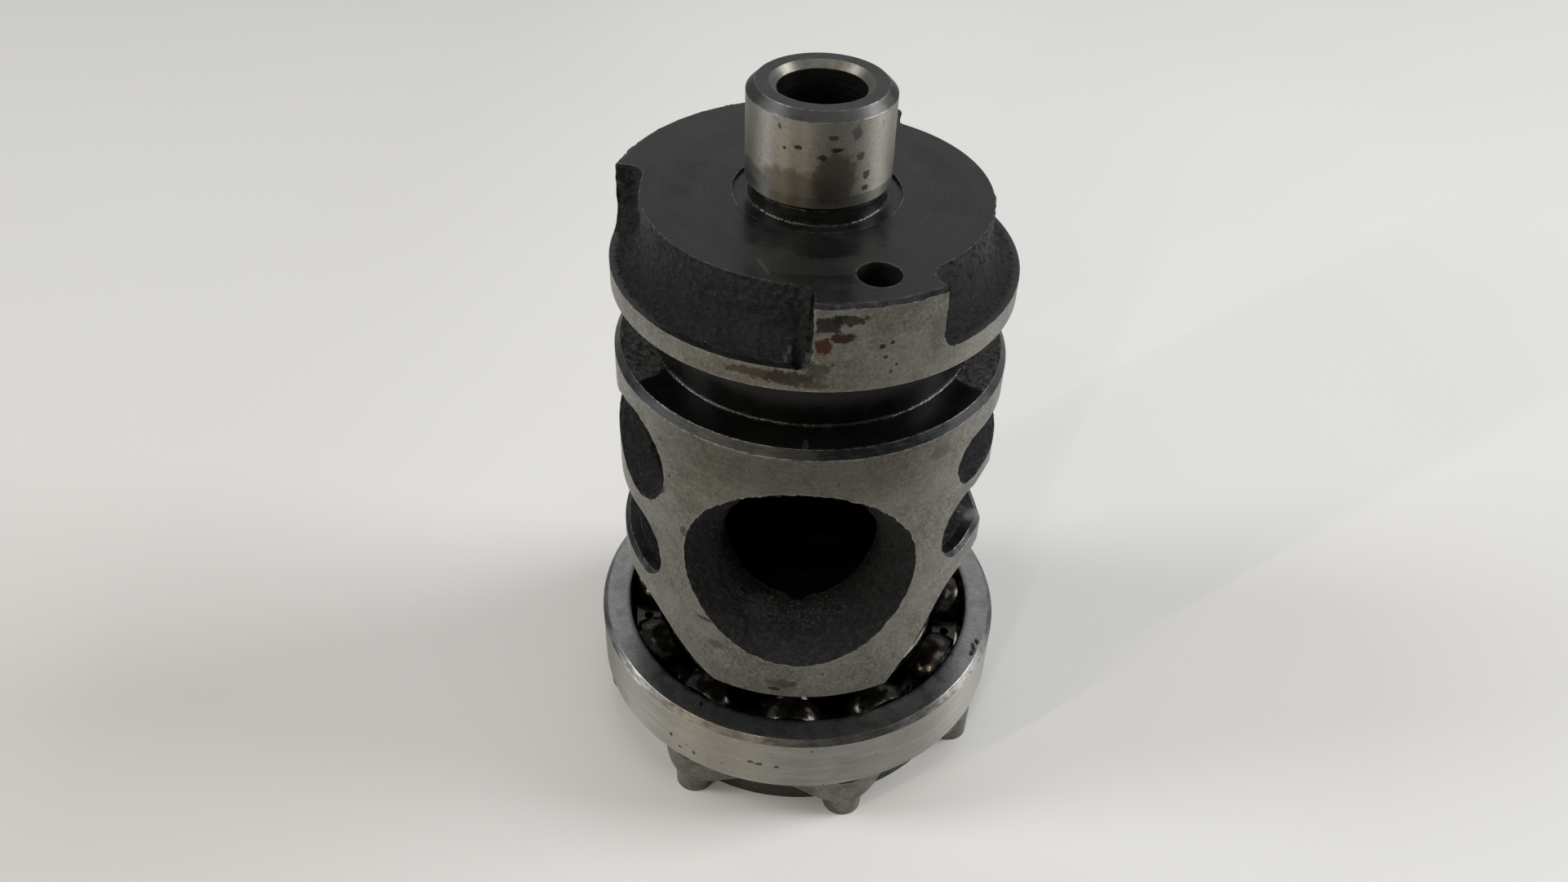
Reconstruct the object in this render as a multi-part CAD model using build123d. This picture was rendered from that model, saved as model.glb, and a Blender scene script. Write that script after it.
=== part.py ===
from build123d import *
import os
from math import cos, pi, radians, sin

# Gear shift drum of a motorcycle gearbox, standing on its detent star.
# A hollow cast drum carries three fork tracks, a journal at its top and a deep-groove
# ball bearing at its foot. The star is bolted on under the bearing.
# Millimetres. +Z runs up the axis, and the origin is the centre of the star's lower face.
# Azimuths are in degrees from the front (-Y), positive towards +X.

# Heights along the axis, from the floor upwards
star_height = 6.2
bearing_width = 8.0
neck_height = 3.9
skirt_height = 34.2
track_width = 7.1
flange_thickness = 9.1
journal_length = 11.0

# Drum: turned outside
drum_radius = 20.2
track_depth = 4.1
flange_edge_chamfer = 0.35
journal_radius = 7.0
journal_end_chamfer = 0.8
journal_end_chamfer_height = 0.52
undercut_length = 1.8
undercut_depth = 0.45
relief_ring_radius = 8.2
relief_ring_depth = 0.3
shoulder_radius = 15.0

# Drum: hollow inside
journal_bore_radius = 4.2
journal_countersink = 0.65
cavity_wall = 2.6
cavity_floor = 27.2
cavity_height = 22.6
cavity_roof_drop = 2.3
lower_bore_radius = 10.0
neck_bore_radius = 7.5
end_wall = 4.8

# Drum: window at the front
window_height = 35.1
window_radius = 11.8
window_throat_radius = 8.0
window_wall_draft = 0.4
window_lip_depth = 1.2
window_throat_wall = 0.5

# Drum: two scoops in the flange, and a small blind hole in the lug between them
scoop_reach = 3.2
scoop_depth = 6.7
scoop_fillet = 3.2
left_scoop = (-99.5, 0.8)
right_scoop = (36.0, 155.0)
scoop_end_round = 2.0
lug_hole_radius = 2.05
lug_hole_inset = 4.4
lug_hole_azimuth = 21.5
lug_hole_depth = 6.0

# Fork tracks: gear stations round the back, and how far each track's centre line
# lies below the lower wall of the top track at each station
first_station = 57.5
station_pitch = 49.0
dwell_half_angle = 8.0
top_track_shift = (0.0, 0.0, -3.6, 3.6, 0.0, 0.0)
middle_track_drop = (7.0, 7.0, 11.0, 7.0, 7.0, 8.5)
lower_track_drop = (15.9, 20.6, 20.6, 24.4, 20.6, 20.6)
middle_track_width = 6.2
middle_track_cast_width = 10.8
lower_track_width = 7.8
milled_depth = 1.7
cast_pocket_inset = 0.6
cast_pocket_end = 1.6
# Each lip's flare: how deep it starts below the drum's surface, and how far it widens the slot
rim_lip = (0.6, 0.85)
sharp_lip = (0.3, 0.05)
cast_lip = (2.6, 1.7)
milled_lip = (0.5, 0.5)
skirt_wall = 3.0
skirt_front = (-18.0, 24.0)
relief_run_in = 0.6
section_step = 7.0
overshoot = 1.0

# Ball bearing: the walls at the lands and the ball are shares of the section between bore and outside
bearing_bore_radius = 12.5
bearing_outer_radius = 23.5
ring_chamfer = 0.6
land_chamfer = 0.2
bore_chamfer = 0.5
inner_wall_share = 0.3364
outer_wall_share = 0.3091
ball_share = 0.5773
ball_count = 11
ball_phase = -0.3
race_conformity = 0.525
race_clearance = 0.05
cage_sheet = 0.5
cage_land_gap = 0.55
pocket_clearance = 0.13
rivet_radius = 0.55
rivet_head_radius = 1.0
rivet_head_height = 0.42
rivet_head_edge = 0.1
rivet_crown_radius = 0.6
rivet_hole_clearance = 0.03

# Detent star, its bolt and its dowel
star_tip_radius = 23.1
star_valley_radius = 19.8
star_lobes = 7
star_lobe_pitch = 49.0
star_first_lobe = 17.3
star_tip_sharpness = 1.3
star_foot_height = 2.5
star_foot_radius = 20.1
star_tooth_radius = 2.2
ring_gap = 0.3
bolt_radius = 4.0
bolt_head_radius = 6.6
bolt_head_height = 4.0
bolt_recess = 0.5
bolt_length = 10.2
bolt_hex_radius = 2.9
bolt_hex_depth = 2.4
bolt_clearance = 0.1
bolt_head_clearance = 0.4
bolt_head_chamfer = 0.4
dowel_radius = 1.5
dowel_length = 5.0
dowel_pitch_radius = 9.8
dowel_clearance = 0.02

# Places worked out from the sizes
bearing_foot = star_height
bearing_top = bearing_foot + bearing_width
bearing_middle = bearing_foot + bearing_width / 2
skirt_edge = bearing_top + neck_height
track_wall = skirt_edge + skirt_height
flange_foot = track_wall + track_width
flange_top = flange_foot + flange_thickness
drum_top = flange_top + journal_length
track_floor_radius = drum_radius - track_depth
cavity_radius = track_floor_radius - cavity_wall
scoop_wall_radius = drum_radius - scoop_reach
lug_hole_pitch_radius = drum_radius - lug_hole_inset
cutter_reach = drum_radius + 2 * overshoot
cutter_root = track_floor_radius - overshoot
bearing_section = bearing_outer_radius - bearing_bore_radius
inner_land_radius = bearing_bore_radius + bearing_section * inner_wall_share
outer_land_radius = bearing_outer_radius - bearing_section * outer_wall_share
cage_inner_radius = inner_land_radius + cage_land_gap
cage_outer_radius = outer_land_radius - cage_land_gap
ball_diameter = bearing_section * ball_share
ball_radius = ball_diameter / 2
pitch_radius = (inner_land_radius + outer_land_radius) / 2
station_count = len(lower_track_drop)
last_station = first_station + station_pitch * (station_count - 1)
top_track_middle = track_wall + track_width / 2


def turned(corners):
    """A solid of revolution about Z from (radius, height) corners."""
    outline = Polyline(*[(r, 0, z) for r, z in corners], close=True)
    return revolve(make_face(outline), Axis.Z)


def disc(radius, low, high):
    """A round bar on the axis between two heights."""
    return Pos(0, 0, (low + high) / 2) * Cylinder(radius, high - low)


def radial_plane(azimuth):
    """The plane through the axis at an azimuth: x is the radius and y the height."""
    s, c = sin(radians(azimuth)), cos(radians(azimuth))
    return Plane(origin=(0, 0, 0), x_dir=(s, -c, 0), z_dir=(-c, -s, 0))


def soft_step(share):
    """Rises from 0 to 1 with level ends, as a cam's ramp does."""
    share = min(max(share, 0.0), 1.0)
    return (1 - cos(pi * share)) / 2


def along_stations(azimuth, values):
    """A value that dwells at each gear station and ramps smoothly between two of them."""
    place = (azimuth - first_station) / station_pitch
    index = min(max(int(place), 0), len(values) - 2)
    dwell = dwell_half_angle / station_pitch
    share = (place - index - dwell) / (1 - 2 * dwell)
    return values[index] + (values[index + 1] - values[index]) * soft_step(share)


def sections_between(start, end):
    """Azimuths of a loft's sections, evenly spaced and both ends included."""
    count = max(2, round((end - start) / section_step))
    return [start + (end - start) * i / count for i in range(count + 1)]


def slot_corners(low, high, low_lip, high_lip, root):
    """A slot's section as (radius, height) corners, with a flare at each lip."""
    low_reach = low - low_lip[1] * (cutter_reach - drum_radius + low_lip[0]) / low_lip[0]
    high_reach = high + high_lip[1] * (cutter_reach - drum_radius + high_lip[0]) / high_lip[0]
    return [(root, low), (drum_radius - low_lip[0], low), (cutter_reach, low_reach),
            (cutter_reach, high_reach), (drum_radius - high_lip[0], high), (root, high)]


def swept_slot(start, end, middle, width, low_lip, high_lip, root):
    """A slot whose middle height and width between its walls are functions of the azimuth."""
    slices = []
    for azimuth in sections_between(start, end):
        low = middle(azimuth) - width(azimuth) / 2
        high = middle(azimuth) + width(azimuth) / 2
        corners = slot_corners(low, high, low_lip, high_lip, root)
        slices.append(radial_plane(azimuth) * make_face(Polyline(*corners, close=True)))
    return loft(slices)


def round_end(azimuth, height, radius, lip, root):
    """The end of a slot, as a cutter leaves it, with the slot's own flared lip."""
    reach_radius = radius + lip[1] * (cutter_reach - drum_radius + lip[0]) / lip[0]
    outline = Polyline((0, -root), (radius, -root), (radius, -drum_radius + lip[0]),
                       (reach_radius, -cutter_reach), (0, -cutter_reach), close=True)
    cutter = revolve(make_face(outline), Axis.Y)
    return Rot(0, 0, azimuth) * Pos(0, 0, height) * cutter


def round_ended_slot(start, end, middle, width, lip, root):
    """A slot with the same lip on both sides and round ends."""
    slot = swept_slot(start, end, middle, width, lip, lip, root)
    for azimuth in (start, end):
        slot += round_end(azimuth, middle(azimuth), width(azimuth) / 2, lip, root)
    return slot


def top_track():
    """The track under the flange: plain round the front, with one swing at the back."""
    swing_start, swing_end = first_station + station_pitch, last_station - station_pitch
    corners = slot_corners(track_wall, flange_foot, rim_lip, sharp_lip, cutter_root)
    section = radial_plane(swing_end) * make_face(Polyline(*corners, close=True))
    plain = revolve(section, Axis.Z, 360 - (swing_end - swing_start))
    swing = swept_slot(swing_start, swing_end,
                       lambda a: top_track_middle + along_stations(a, top_track_shift),
                       lambda a: track_width, rim_lip, sharp_lip, cutter_root)
    return plain + swing - disc(track_floor_radius, skirt_edge, flange_top)


def middle_track_middle(azimuth):
    return track_wall - along_stations(azimuth, middle_track_drop)


def middle_track_floor_width(azimuth):
    """The width at the floor: the as-cast left end is wider than the rest."""
    share = (azimuth - last_station + station_pitch / 2) / (station_pitch / 2)
    surface = middle_track_width + (middle_track_cast_width - middle_track_width) * soft_step(share)
    return surface - 2 * cast_lip[1]


def middle_track():
    """The second track, as cast, with sloping walls."""
    slot = round_ended_slot(first_station, last_station, middle_track_middle,
                            middle_track_floor_width, cast_lip, cutter_root)
    return slot - disc(track_floor_radius, skirt_edge, flange_top)


def lower_track_middle(azimuth):
    return track_wall - along_stations(azimuth, lower_track_drop)


def lower_track():
    """The third track: milled walls near the surface, over a narrower pocket left as cast."""
    pocket_width = lower_track_width - 2 * cast_pocket_inset
    pocket_end = cast_pocket_end / drum_radius * 180 / pi
    milled = round_ended_slot(first_station, last_station, lower_track_middle,
                              lambda a: lower_track_width, milled_lip, cutter_root)
    pocket = round_ended_slot(first_station + pocket_end, last_station - pocket_end, lower_track_middle,
                              lambda a: pocket_width, sharp_lip, cutter_root)
    return (milled - disc(drum_radius - milled_depth, skirt_edge, flange_top)
            + (pocket - disc(track_floor_radius, skirt_edge, flange_top)))


def skirt_relief():
    """What is left out under the lower track: the drum's edge follows the track round the back."""
    start, end = skirt_front[1], 360 + skirt_front[0]
    low_edge = skirt_edge - relief_run_in
    foot = bearing_top + neck_height / 2
    slices = []
    for azimuth in sections_between(start, end):
        high_edge = lower_track_middle(azimuth) - lower_track_width / 2 - skirt_wall
        rise = soft_step((azimuth - start) / (first_station - start))
        fall = soft_step((end - azimuth) / (end - last_station))
        edge = low_edge + (high_edge - low_edge) * min(rise, fall)
        corners = [(shoulder_radius - overshoot, foot), (cutter_reach, foot),
                   (cutter_reach, edge), (shoulder_radius - overshoot, edge)]
        slices.append(radial_plane(azimuth) * make_face(Polyline(*corners, close=True)))
    return loft(slices) - disc(shoulder_radius, bearing_top, track_wall)


def scoop(start, end):
    """A hollow scooped out of the flange's rim, with a wall, a concave floor and round ends."""
    floor = flange_top - scoop_depth
    wall_foot = floor + scoop_fillet
    floor_start = scoop_wall_radius + scoop_fillet
    section = make_face(
        Polyline((scoop_wall_radius, wall_foot), (scoop_wall_radius, flange_top + overshoot),
                 (cutter_reach, flange_top + overshoot), (cutter_reach, floor), (floor_start, floor))
        + RadiusArc((floor_start, floor), (scoop_wall_radius, wall_foot), scoop_fillet))
    hollow = revolve(radial_plane(start) * section, Axis.Z, end - start)
    upright = hollow.faces().filter_by(lambda f: f.geom_type == GeomType.PLANE and abs(f.normal_at().Z) < 0.1)
    corners = upright.edges().filter_by(
        lambda e: e.center().Z < flange_top and Vector(e.center().X, e.center().Y).length < drum_radius)
    return fillet(corners, scoop_end_round)


def drum_blank():
    """The turned outside of the drum, solid, from its bearing seat to its journal."""
    undercut_radius = journal_radius - undercut_depth
    journal_foot = flange_top + undercut_length
    return turned([
        (0, bearing_foot), (bearing_bore_radius, bearing_foot), (bearing_bore_radius, bearing_top),
        (shoulder_radius, bearing_top), (shoulder_radius, skirt_edge), (drum_radius, skirt_edge),
        (drum_radius, flange_top - flange_edge_chamfer), (drum_radius - flange_edge_chamfer, flange_top),
        (relief_ring_radius, flange_top), (relief_ring_radius, flange_top - relief_ring_depth),
        (undercut_radius, flange_top - relief_ring_depth), (undercut_radius, journal_foot - undercut_depth),
        (journal_radius, journal_foot), (journal_radius, drum_top - journal_end_chamfer_height),
        (journal_radius - journal_end_chamfer, drum_top), (0, drum_top)])


def drum_hollow():
    """The cored inside: journal bore, wide middle, lower bore and bolt hole."""
    cavity_roof = cavity_floor + cavity_height
    neck_floor = bearing_foot + end_wall
    hole_radius = bolt_radius + bolt_clearance
    return turned([
        (0, drum_top), (journal_bore_radius + journal_countersink, drum_top),
        (journal_bore_radius, drum_top - journal_countersink), (journal_bore_radius, cavity_roof),
        (cavity_radius, cavity_roof - cavity_roof_drop), (cavity_radius, cavity_floor),
        (lower_bore_radius, cavity_floor), (lower_bore_radius, bearing_top),
        (neck_bore_radius, bearing_top - (lower_bore_radius - neck_bore_radius)),
        (neck_bore_radius, neck_floor), (hole_radius, neck_floor), (hole_radius, bearing_foot),
        (0, bearing_foot)])


def window_cut():
    """The round window at the front: a steep lip, then a funnel down to a smaller throat."""
    lip = drum_radius - window_lip_depth - (drum_radius - (drum_radius ** 2 - window_radius ** 2) ** 0.5)
    throat = cavity_radius + window_throat_wall
    outline = Polyline((0, cutter_reach), (window_radius + window_wall_draft, cutter_reach),
                       (window_radius, lip), (window_throat_radius, throat),
                       (window_throat_radius, 0), (0, 0), close=True)
    turned_cut = revolve(make_face(outline), Axis.Y)
    return Pos(0, 0, window_height) * Rot(0, 0, 180) * turned_cut


def drum_body():
    tracks = top_track() + middle_track() + lower_track()
    hole = Rot(0, 0, lug_hole_azimuth) * Pos(0, -lug_hole_pitch_radius, 0) * disc(
        lug_hole_radius, flange_top - lug_hole_depth, flange_top + overshoot)
    dowel_hole = Pos(0, -dowel_pitch_radius, 0) * disc(
        dowel_radius + dowel_clearance, bearing_foot, bearing_foot + dowel_length / 2 + dowel_clearance)
    body = drum_blank() - tracks
    body -= skirt_relief()
    body -= scoop(*left_scoop)
    body -= scoop(*right_scoop)
    body -= drum_hollow()
    body -= window_cut()
    return body - hole - dowel_hole


def ring_section(inner, outer, inner_chamfer, outer_chamfer):
    low, high = bearing_foot, bearing_top
    return turned([
        (inner, low + inner_chamfer), (inner + inner_chamfer, low), (outer - outer_chamfer, low),
        (outer, low + outer_chamfer), (outer, high - outer_chamfer), (outer - outer_chamfer, high),
        (inner + inner_chamfer, high), (inner, high - inner_chamfer)])


def race_groove(bottom_radius, side):
    """The torus that cuts a race: side is 1 where its bottom faces outwards, -1 inwards."""
    groove_radius = ball_diameter * race_conformity
    return Pos(0, 0, bearing_middle) * Torus(bottom_radius + side * groove_radius, groove_radius)


def bearing_inner_ring():
    ring = ring_section(bearing_bore_radius, inner_land_radius, bore_chamfer, land_chamfer)
    return ring - race_groove(pitch_radius - ball_radius - race_clearance, 1)


def bearing_outer_ring():
    ring = ring_section(outer_land_radius, bearing_outer_radius, land_chamfer, ring_chamfer)
    return ring - race_groove(pitch_radius + ball_radius + race_clearance, -1)


def ball_azimuth(index):
    return ball_phase + index * 360 / ball_count


def at_pitch(azimuth, shape):
    """Puts a shape on the bearing's pitch circle, at mid height."""
    return Rot(0, 0, azimuth) * Pos(0, -pitch_radius, bearing_middle) * shape


def cage_half():
    """The upper half of the cage: a pressed ribbon with a domed pocket over each ball."""
    pocket_radius = ball_radius + pocket_clearance
    dome_radius = pocket_radius + cage_sheet
    band = disc(cage_outer_radius, bearing_middle, bearing_top) - disc(
        cage_inner_radius, bearing_middle, bearing_top)
    ribbon = disc(cage_outer_radius, bearing_middle, bearing_middle + cage_sheet) - disc(
        cage_inner_radius, bearing_middle, bearing_middle + cage_sheet)
    for i in range(ball_count):
        ribbon += at_pitch(ball_azimuth(i), Sphere(dome_radius)) & band
    for i in range(ball_count):
        rivet_azimuth = ball_azimuth(i) + 180 / ball_count
        ribbon -= at_pitch(ball_azimuth(i), Sphere(pocket_radius))
        ribbon -= at_pitch(rivet_azimuth, Cylinder(rivet_radius + rivet_hole_clearance, 4 * cage_sheet))
    return ribbon


def cage_rivet():
    """One rivet: a shank through both ribbons with a domed head on each side."""
    half = cage_sheet + rivet_head_height
    edge = cage_sheet + rivet_head_edge
    return turned([
        (0, -half), (rivet_crown_radius, -half), (rivet_head_radius, -edge),
        (rivet_head_radius, -cage_sheet), (rivet_radius, -cage_sheet), (rivet_radius, cage_sheet),
        (rivet_head_radius, cage_sheet), (rivet_head_radius, edge), (rivet_crown_radius, half), (0, half)])


def cage_rivets():
    rivet = cage_rivet()
    return Compound(children=[at_pitch(ball_azimuth(i) + 180 / ball_count, rivet) for i in range(ball_count)])


def star_radius(offset, pitch):
    """The cam's radius at an angle from a lobe's tip, for lobes that lie a pitch apart."""
    crest = (1 + cos(2 * pi * offset / pitch)) / 2
    return star_valley_radius + (star_tip_radius - star_valley_radius) * crest ** star_tip_sharpness


def lobe_azimuths():
    return [star_first_lobe + (i - star_lobes // 2) * star_lobe_pitch for i in range(star_lobes)]


def star_outline():
    """The detent cam: even lobes, and one wider valley that closes the circle at the back."""
    lobes = lobe_azimuths()
    closing_pitch = 360 - star_lobe_pitch * (star_lobes - 1)
    points = []
    for tip in lobes:
        pitch = closing_pitch if tip == lobes[-1] else star_lobe_pitch
        steps = round(pitch / section_step)
        for i in range(steps):
            offset = pitch * i / steps
            angle = radians(tip + offset)
            radius = star_radius(offset, pitch)
            points.append((radius * sin(angle), -radius * cos(angle)))
    return make_face(Spline(*points, periodic=True))


def star_foot():
    """The lower tier: a round hub with a rounded tooth under each lobe."""
    foot = Circle(star_foot_radius)
    for azimuth in lobe_azimuths():
        tooth_centre = star_tip_radius - star_tooth_radius
        tooth = Pos(0, -tooth_centre) * Circle(star_tooth_radius)
        tooth += Pos(0, -tooth_centre / 2) * Rectangle(2 * star_tooth_radius, tooth_centre)
        foot += Rot(0, 0, azimuth) * tooth
    return foot


def detent_star():
    star = extrude(star_foot(), star_foot_height)
    star += Pos(0, 0, star_foot_height) * extrude(star_outline(), star_height - ring_gap - star_foot_height)
    star += disc(shoulder_radius - ring_gap, 0, star_height)
    star -= disc(bolt_radius + bolt_clearance, 0, star_height)
    star -= disc(bolt_head_radius + bolt_head_clearance, 0, bolt_recess + bolt_head_height)
    return star - Pos(0, -dowel_pitch_radius, 0) * disc(
        dowel_radius + dowel_clearance, star_height - dowel_length / 2 - dowel_clearance, star_height)


def star_bolt():
    head_top = bolt_recess + bolt_head_height
    bolt = disc(bolt_head_radius, bolt_recess, head_top) + disc(bolt_radius, bolt_recess, bolt_recess + bolt_length)
    bolt = chamfer(bolt.edges().sort_by(Axis.Z)[0], bolt_head_chamfer)
    socket = Pos(0, 0, bolt_recess) * extrude(RegularPolygon(bolt_hex_radius, 6), bolt_hex_depth)
    return bolt - socket


def dowel_pin():
    return Pos(0, -dowel_pitch_radius, 0) * disc(
        dowel_radius, star_height - dowel_length / 2, star_height + dowel_length / 2)


def save(name, shape):
    export_step(shape, f"parts/{name}.step")


os.makedirs("parts", exist_ok=True)
save("drum_body", drum_body())
save("bearing_inner_ring", bearing_inner_ring())
save("bearing_outer_ring", bearing_outer_ring())
half = cage_half()
save("cage_upper", half)
save("cage_lower", Pos(0, 0, 2 * bearing_middle) * mirror(half, Plane.XY))
save("cage_rivets", cage_rivets())
for number in range(ball_count):
    save(f"ball_{number + 1:02d}", at_pitch(ball_azimuth(number), Sphere(ball_radius)))
save("detent_star", detent_star())
save("star_bolt", star_bolt())
save("dowel_pin", dowel_pin())
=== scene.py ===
import bmesh
import bpy
import numpy as np
from math import cos, pi, radians, sin
from mathutils import Matrix, Vector, noise
from mathutils.kdtree import KDTree


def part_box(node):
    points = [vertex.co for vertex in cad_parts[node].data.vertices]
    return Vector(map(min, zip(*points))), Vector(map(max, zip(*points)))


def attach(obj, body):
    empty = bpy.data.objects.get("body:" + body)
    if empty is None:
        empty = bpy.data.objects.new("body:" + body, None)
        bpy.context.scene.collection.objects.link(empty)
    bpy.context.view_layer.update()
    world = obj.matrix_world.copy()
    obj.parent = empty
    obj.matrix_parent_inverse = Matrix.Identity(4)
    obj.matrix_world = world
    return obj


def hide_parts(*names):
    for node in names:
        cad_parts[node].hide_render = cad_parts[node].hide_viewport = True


# Gear shift drum on a pale table, seen from the front and above. Metres, +Z up.
# Azimuths are in degrees from the front (-Y), positive towards +X, as they are in the part's source.

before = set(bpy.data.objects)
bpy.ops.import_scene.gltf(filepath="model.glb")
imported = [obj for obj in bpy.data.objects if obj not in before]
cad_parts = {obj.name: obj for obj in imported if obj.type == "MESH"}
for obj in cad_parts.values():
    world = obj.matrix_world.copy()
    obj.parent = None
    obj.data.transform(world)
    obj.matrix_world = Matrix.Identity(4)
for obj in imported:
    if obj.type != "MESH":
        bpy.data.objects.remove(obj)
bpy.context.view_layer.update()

# Sizes that the looks depend on, in metres
MM = 0.001
drum_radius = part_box("drum_body")[1].x
journal_radius = 7.0 * MM
journal_foot = 70.3 * MM
flange_top = 68.5 * MM
flange_foot = 59.4 * MM
top_track_wall = 52.3 * MM
scoop_floor = 61.8 * MM
scoop_wall_radius = 17.0 * MM
left_scoop_end = 0.8
drum_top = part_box("drum_body")[1].z
window_height = 35.1 * MM
window_radius = 12.3 * MM
track_floor_radius = 16.1 * MM
tracks_foot = 20 * MM
underside_top = 32 * MM
neck_bore_radius, neck_bore_foot = 10 * MM, 8 * MM
cavity_radius = 13.5 * MM
neck_radius = 15.0 * MM
milled_floor_radius = 18.5 * MM
window_throat_radius = 8.0 * MM
window_throat_depth = 14.0 * MM
ring_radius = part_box("bearing_outer_ring")[1].x
ring_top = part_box("bearing_outer_ring")[1].z
ball_count = 11
ball_pitch_radius = 18.15 * MM
ball_phase = -0.3
bearing_middle = (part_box("bearing_outer_ring")[0].z + ring_top) / 2


def on_drum(azimuth, height, radius=drum_radius):
    """A point on the drum from its azimuth in degrees and its height in metres."""
    a = radians(azimuth)
    return Vector((radius * sin(a), -radius * cos(a), height))


def stain(azimuth, height, size, tint, strength, radius=drum_radius):
    """A stain as a place, a size, a colour and a strength. Its height and size come in millimetres."""
    return on_drum(azimuth, height * MM, radius), tuple(length * MM for length in size), tint, strength


# Mesh tools: reading a CAD node, splitting its triangles and building the finished piece

def read_node(name):
    """A CAD node as merged points, triangles and the normal at each triangle's corners."""
    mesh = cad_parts[name].data
    points = np.empty(len(mesh.vertices) * 3, np.float32)
    mesh.vertices.foreach_get("co", points)
    points = points.reshape(-1, 3).astype(float)
    corners = np.empty(len(mesh.loops), np.int32)
    mesh.loops.foreach_get("vertex_index", corners)
    normals = np.empty(len(mesh.loops) * 3, np.float32)
    mesh.corner_normals.foreach_get("vector", normals)
    keys = np.round(points / 2e-7).astype(np.int64)
    _, first, inverse = np.unique(keys, axis=0, return_index=True, return_inverse=True)
    triangles = inverse.reshape(-1)[corners].reshape(-1, 3)
    whole = ((triangles[:, 0] != triangles[:, 1]) & (triangles[:, 1] != triangles[:, 2])
             & (triangles[:, 2] != triangles[:, 0]))
    return points[first], triangles[whole], normals.reshape(-1, 3, 3).astype(float)[whole]


def unit(vectors):
    return vectors / np.maximum(np.linalg.norm(vectors, axis=-1, keepdims=True), 1e-12)


def edges_of(triangles):
    """Each triangle's three edges as numbers, and the two ends of every edge."""
    pairs = np.stack([triangles, np.roll(triangles, -1, axis=1)], axis=2)
    ends, numbers = np.unique(np.sort(pairs.reshape(-1, 2), axis=1), axis=0, return_inverse=True)
    return numbers.reshape(-1, 3), ends


def rounded_middles(points, triangles, normals, numbers, ends):
    """Every edge's middle, lifted onto the curved surface that the corner normals describe."""
    start, end = points[triangles], points[np.roll(triangles, -1, axis=1)]
    start_normal, end_normal = normals, np.roll(normals, -1, axis=1)
    middle = (start + end) / 2
    start_lift = ((start - middle) * start_normal).sum(2, keepdims=True)
    end_lift = ((end - middle) * end_normal).sum(2, keepdims=True)
    lift = (start_lift * start_normal + end_lift * end_normal) / 4
    side_normal = unit(start_normal + end_normal)
    height = (lift * side_normal).sum(2)
    count = len(ends)
    order = np.argsort(numbers.ravel(), kind="stable")
    used = numbers.ravel()[order]
    first = np.searchsorted(used, np.arange(count))
    last = np.searchsorted(used, np.arange(count), side="right") - 1
    flat_normal, flat_height = side_normal.reshape(-1, 3)[order], height.ravel()[order]
    n1, n2, h1, h2 = flat_normal[first], flat_normal[last], flat_height[first], flat_height[last]
    agreement = (n1 * n2).sum(1)
    spread = np.maximum(1 - agreement ** 2, 1e-6)
    a = (h1 - agreement * h2) / spread
    b = (h2 - agreement * h1) / spread
    sharp = agreement < 0.93
    smooth_lift = (n1 * h1[:, None] + n2 * h2[:, None]) / 2
    sharp_lift = n1 * a[:, None] + n2 * b[:, None]
    lifted = np.where(sharp[:, None], sharp_lift, smooth_lift)
    return points[ends].mean(1) + lifted, sharp


def split(points, triangles, normals, zones, target, passes):
    """Splits every edge that is longer than its target length, keeping curves round and edges sharp."""
    for _ in range(passes):
        numbers, ends = edges_of(triangles)
        middles, _ = rounded_middles(points, triangles, normals, numbers, ends)
        length = np.linalg.norm(points[ends[:, 0]] - points[ends[:, 1]], axis=1)
        wanted = np.full(len(ends), np.inf)
        np.minimum.at(wanted, numbers.ravel(), np.repeat(target(points, triangles, zones), 3))
        marked = length > wanted
        if not marked.any():
            break
        new_number = np.full(len(ends), -1)
        new_number[marked] = len(points) + np.arange(marked.sum())
        points = np.concatenate([points, middles[marked]])
        mark, mid = marked[numbers], new_number[numbers]
        middle_normal = unit(normals + np.roll(normals, -1, axis=1))
        bits = mark @ np.array([1, 2, 4])
        parts = []
        for pattern, pieces in SPLITS.items():
            rows = np.flatnonzero(bits == pattern)
            if not len(rows):
                continue
            corner = np.concatenate([triangles[rows], mid[rows]], axis=1)
            corner_normal = np.concatenate([normals[rows], middle_normal[rows]], axis=1)
            for piece in pieces:
                parts.append((corner[:, piece], corner_normal[:, piece], zones[rows]))
        triangles = np.concatenate([p[0] for p in parts])
        normals = np.concatenate([p[1] for p in parts])
        zones = np.concatenate([p[2] for p in parts])
    return points, triangles, normals, zones


# For each set of marked edges, the triangles that replace one triangle.
# 0-2 are its corners, and 3-5 its edges' middles.
SPLITS = {
    0: [[0, 1, 2]],
    1: [[0, 3, 2], [3, 1, 2]], 2: [[0, 1, 4], [0, 4, 2]], 4: [[0, 1, 5], [1, 2, 5]],
    3: [[3, 1, 4], [0, 3, 4], [0, 4, 2]], 6: [[4, 2, 5], [0, 1, 4], [0, 4, 5]],
    5: [[0, 3, 5], [3, 1, 2], [3, 2, 5]], 7: [[0, 3, 5], [3, 1, 4], [4, 2, 5], [3, 4, 5]],
}


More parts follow.
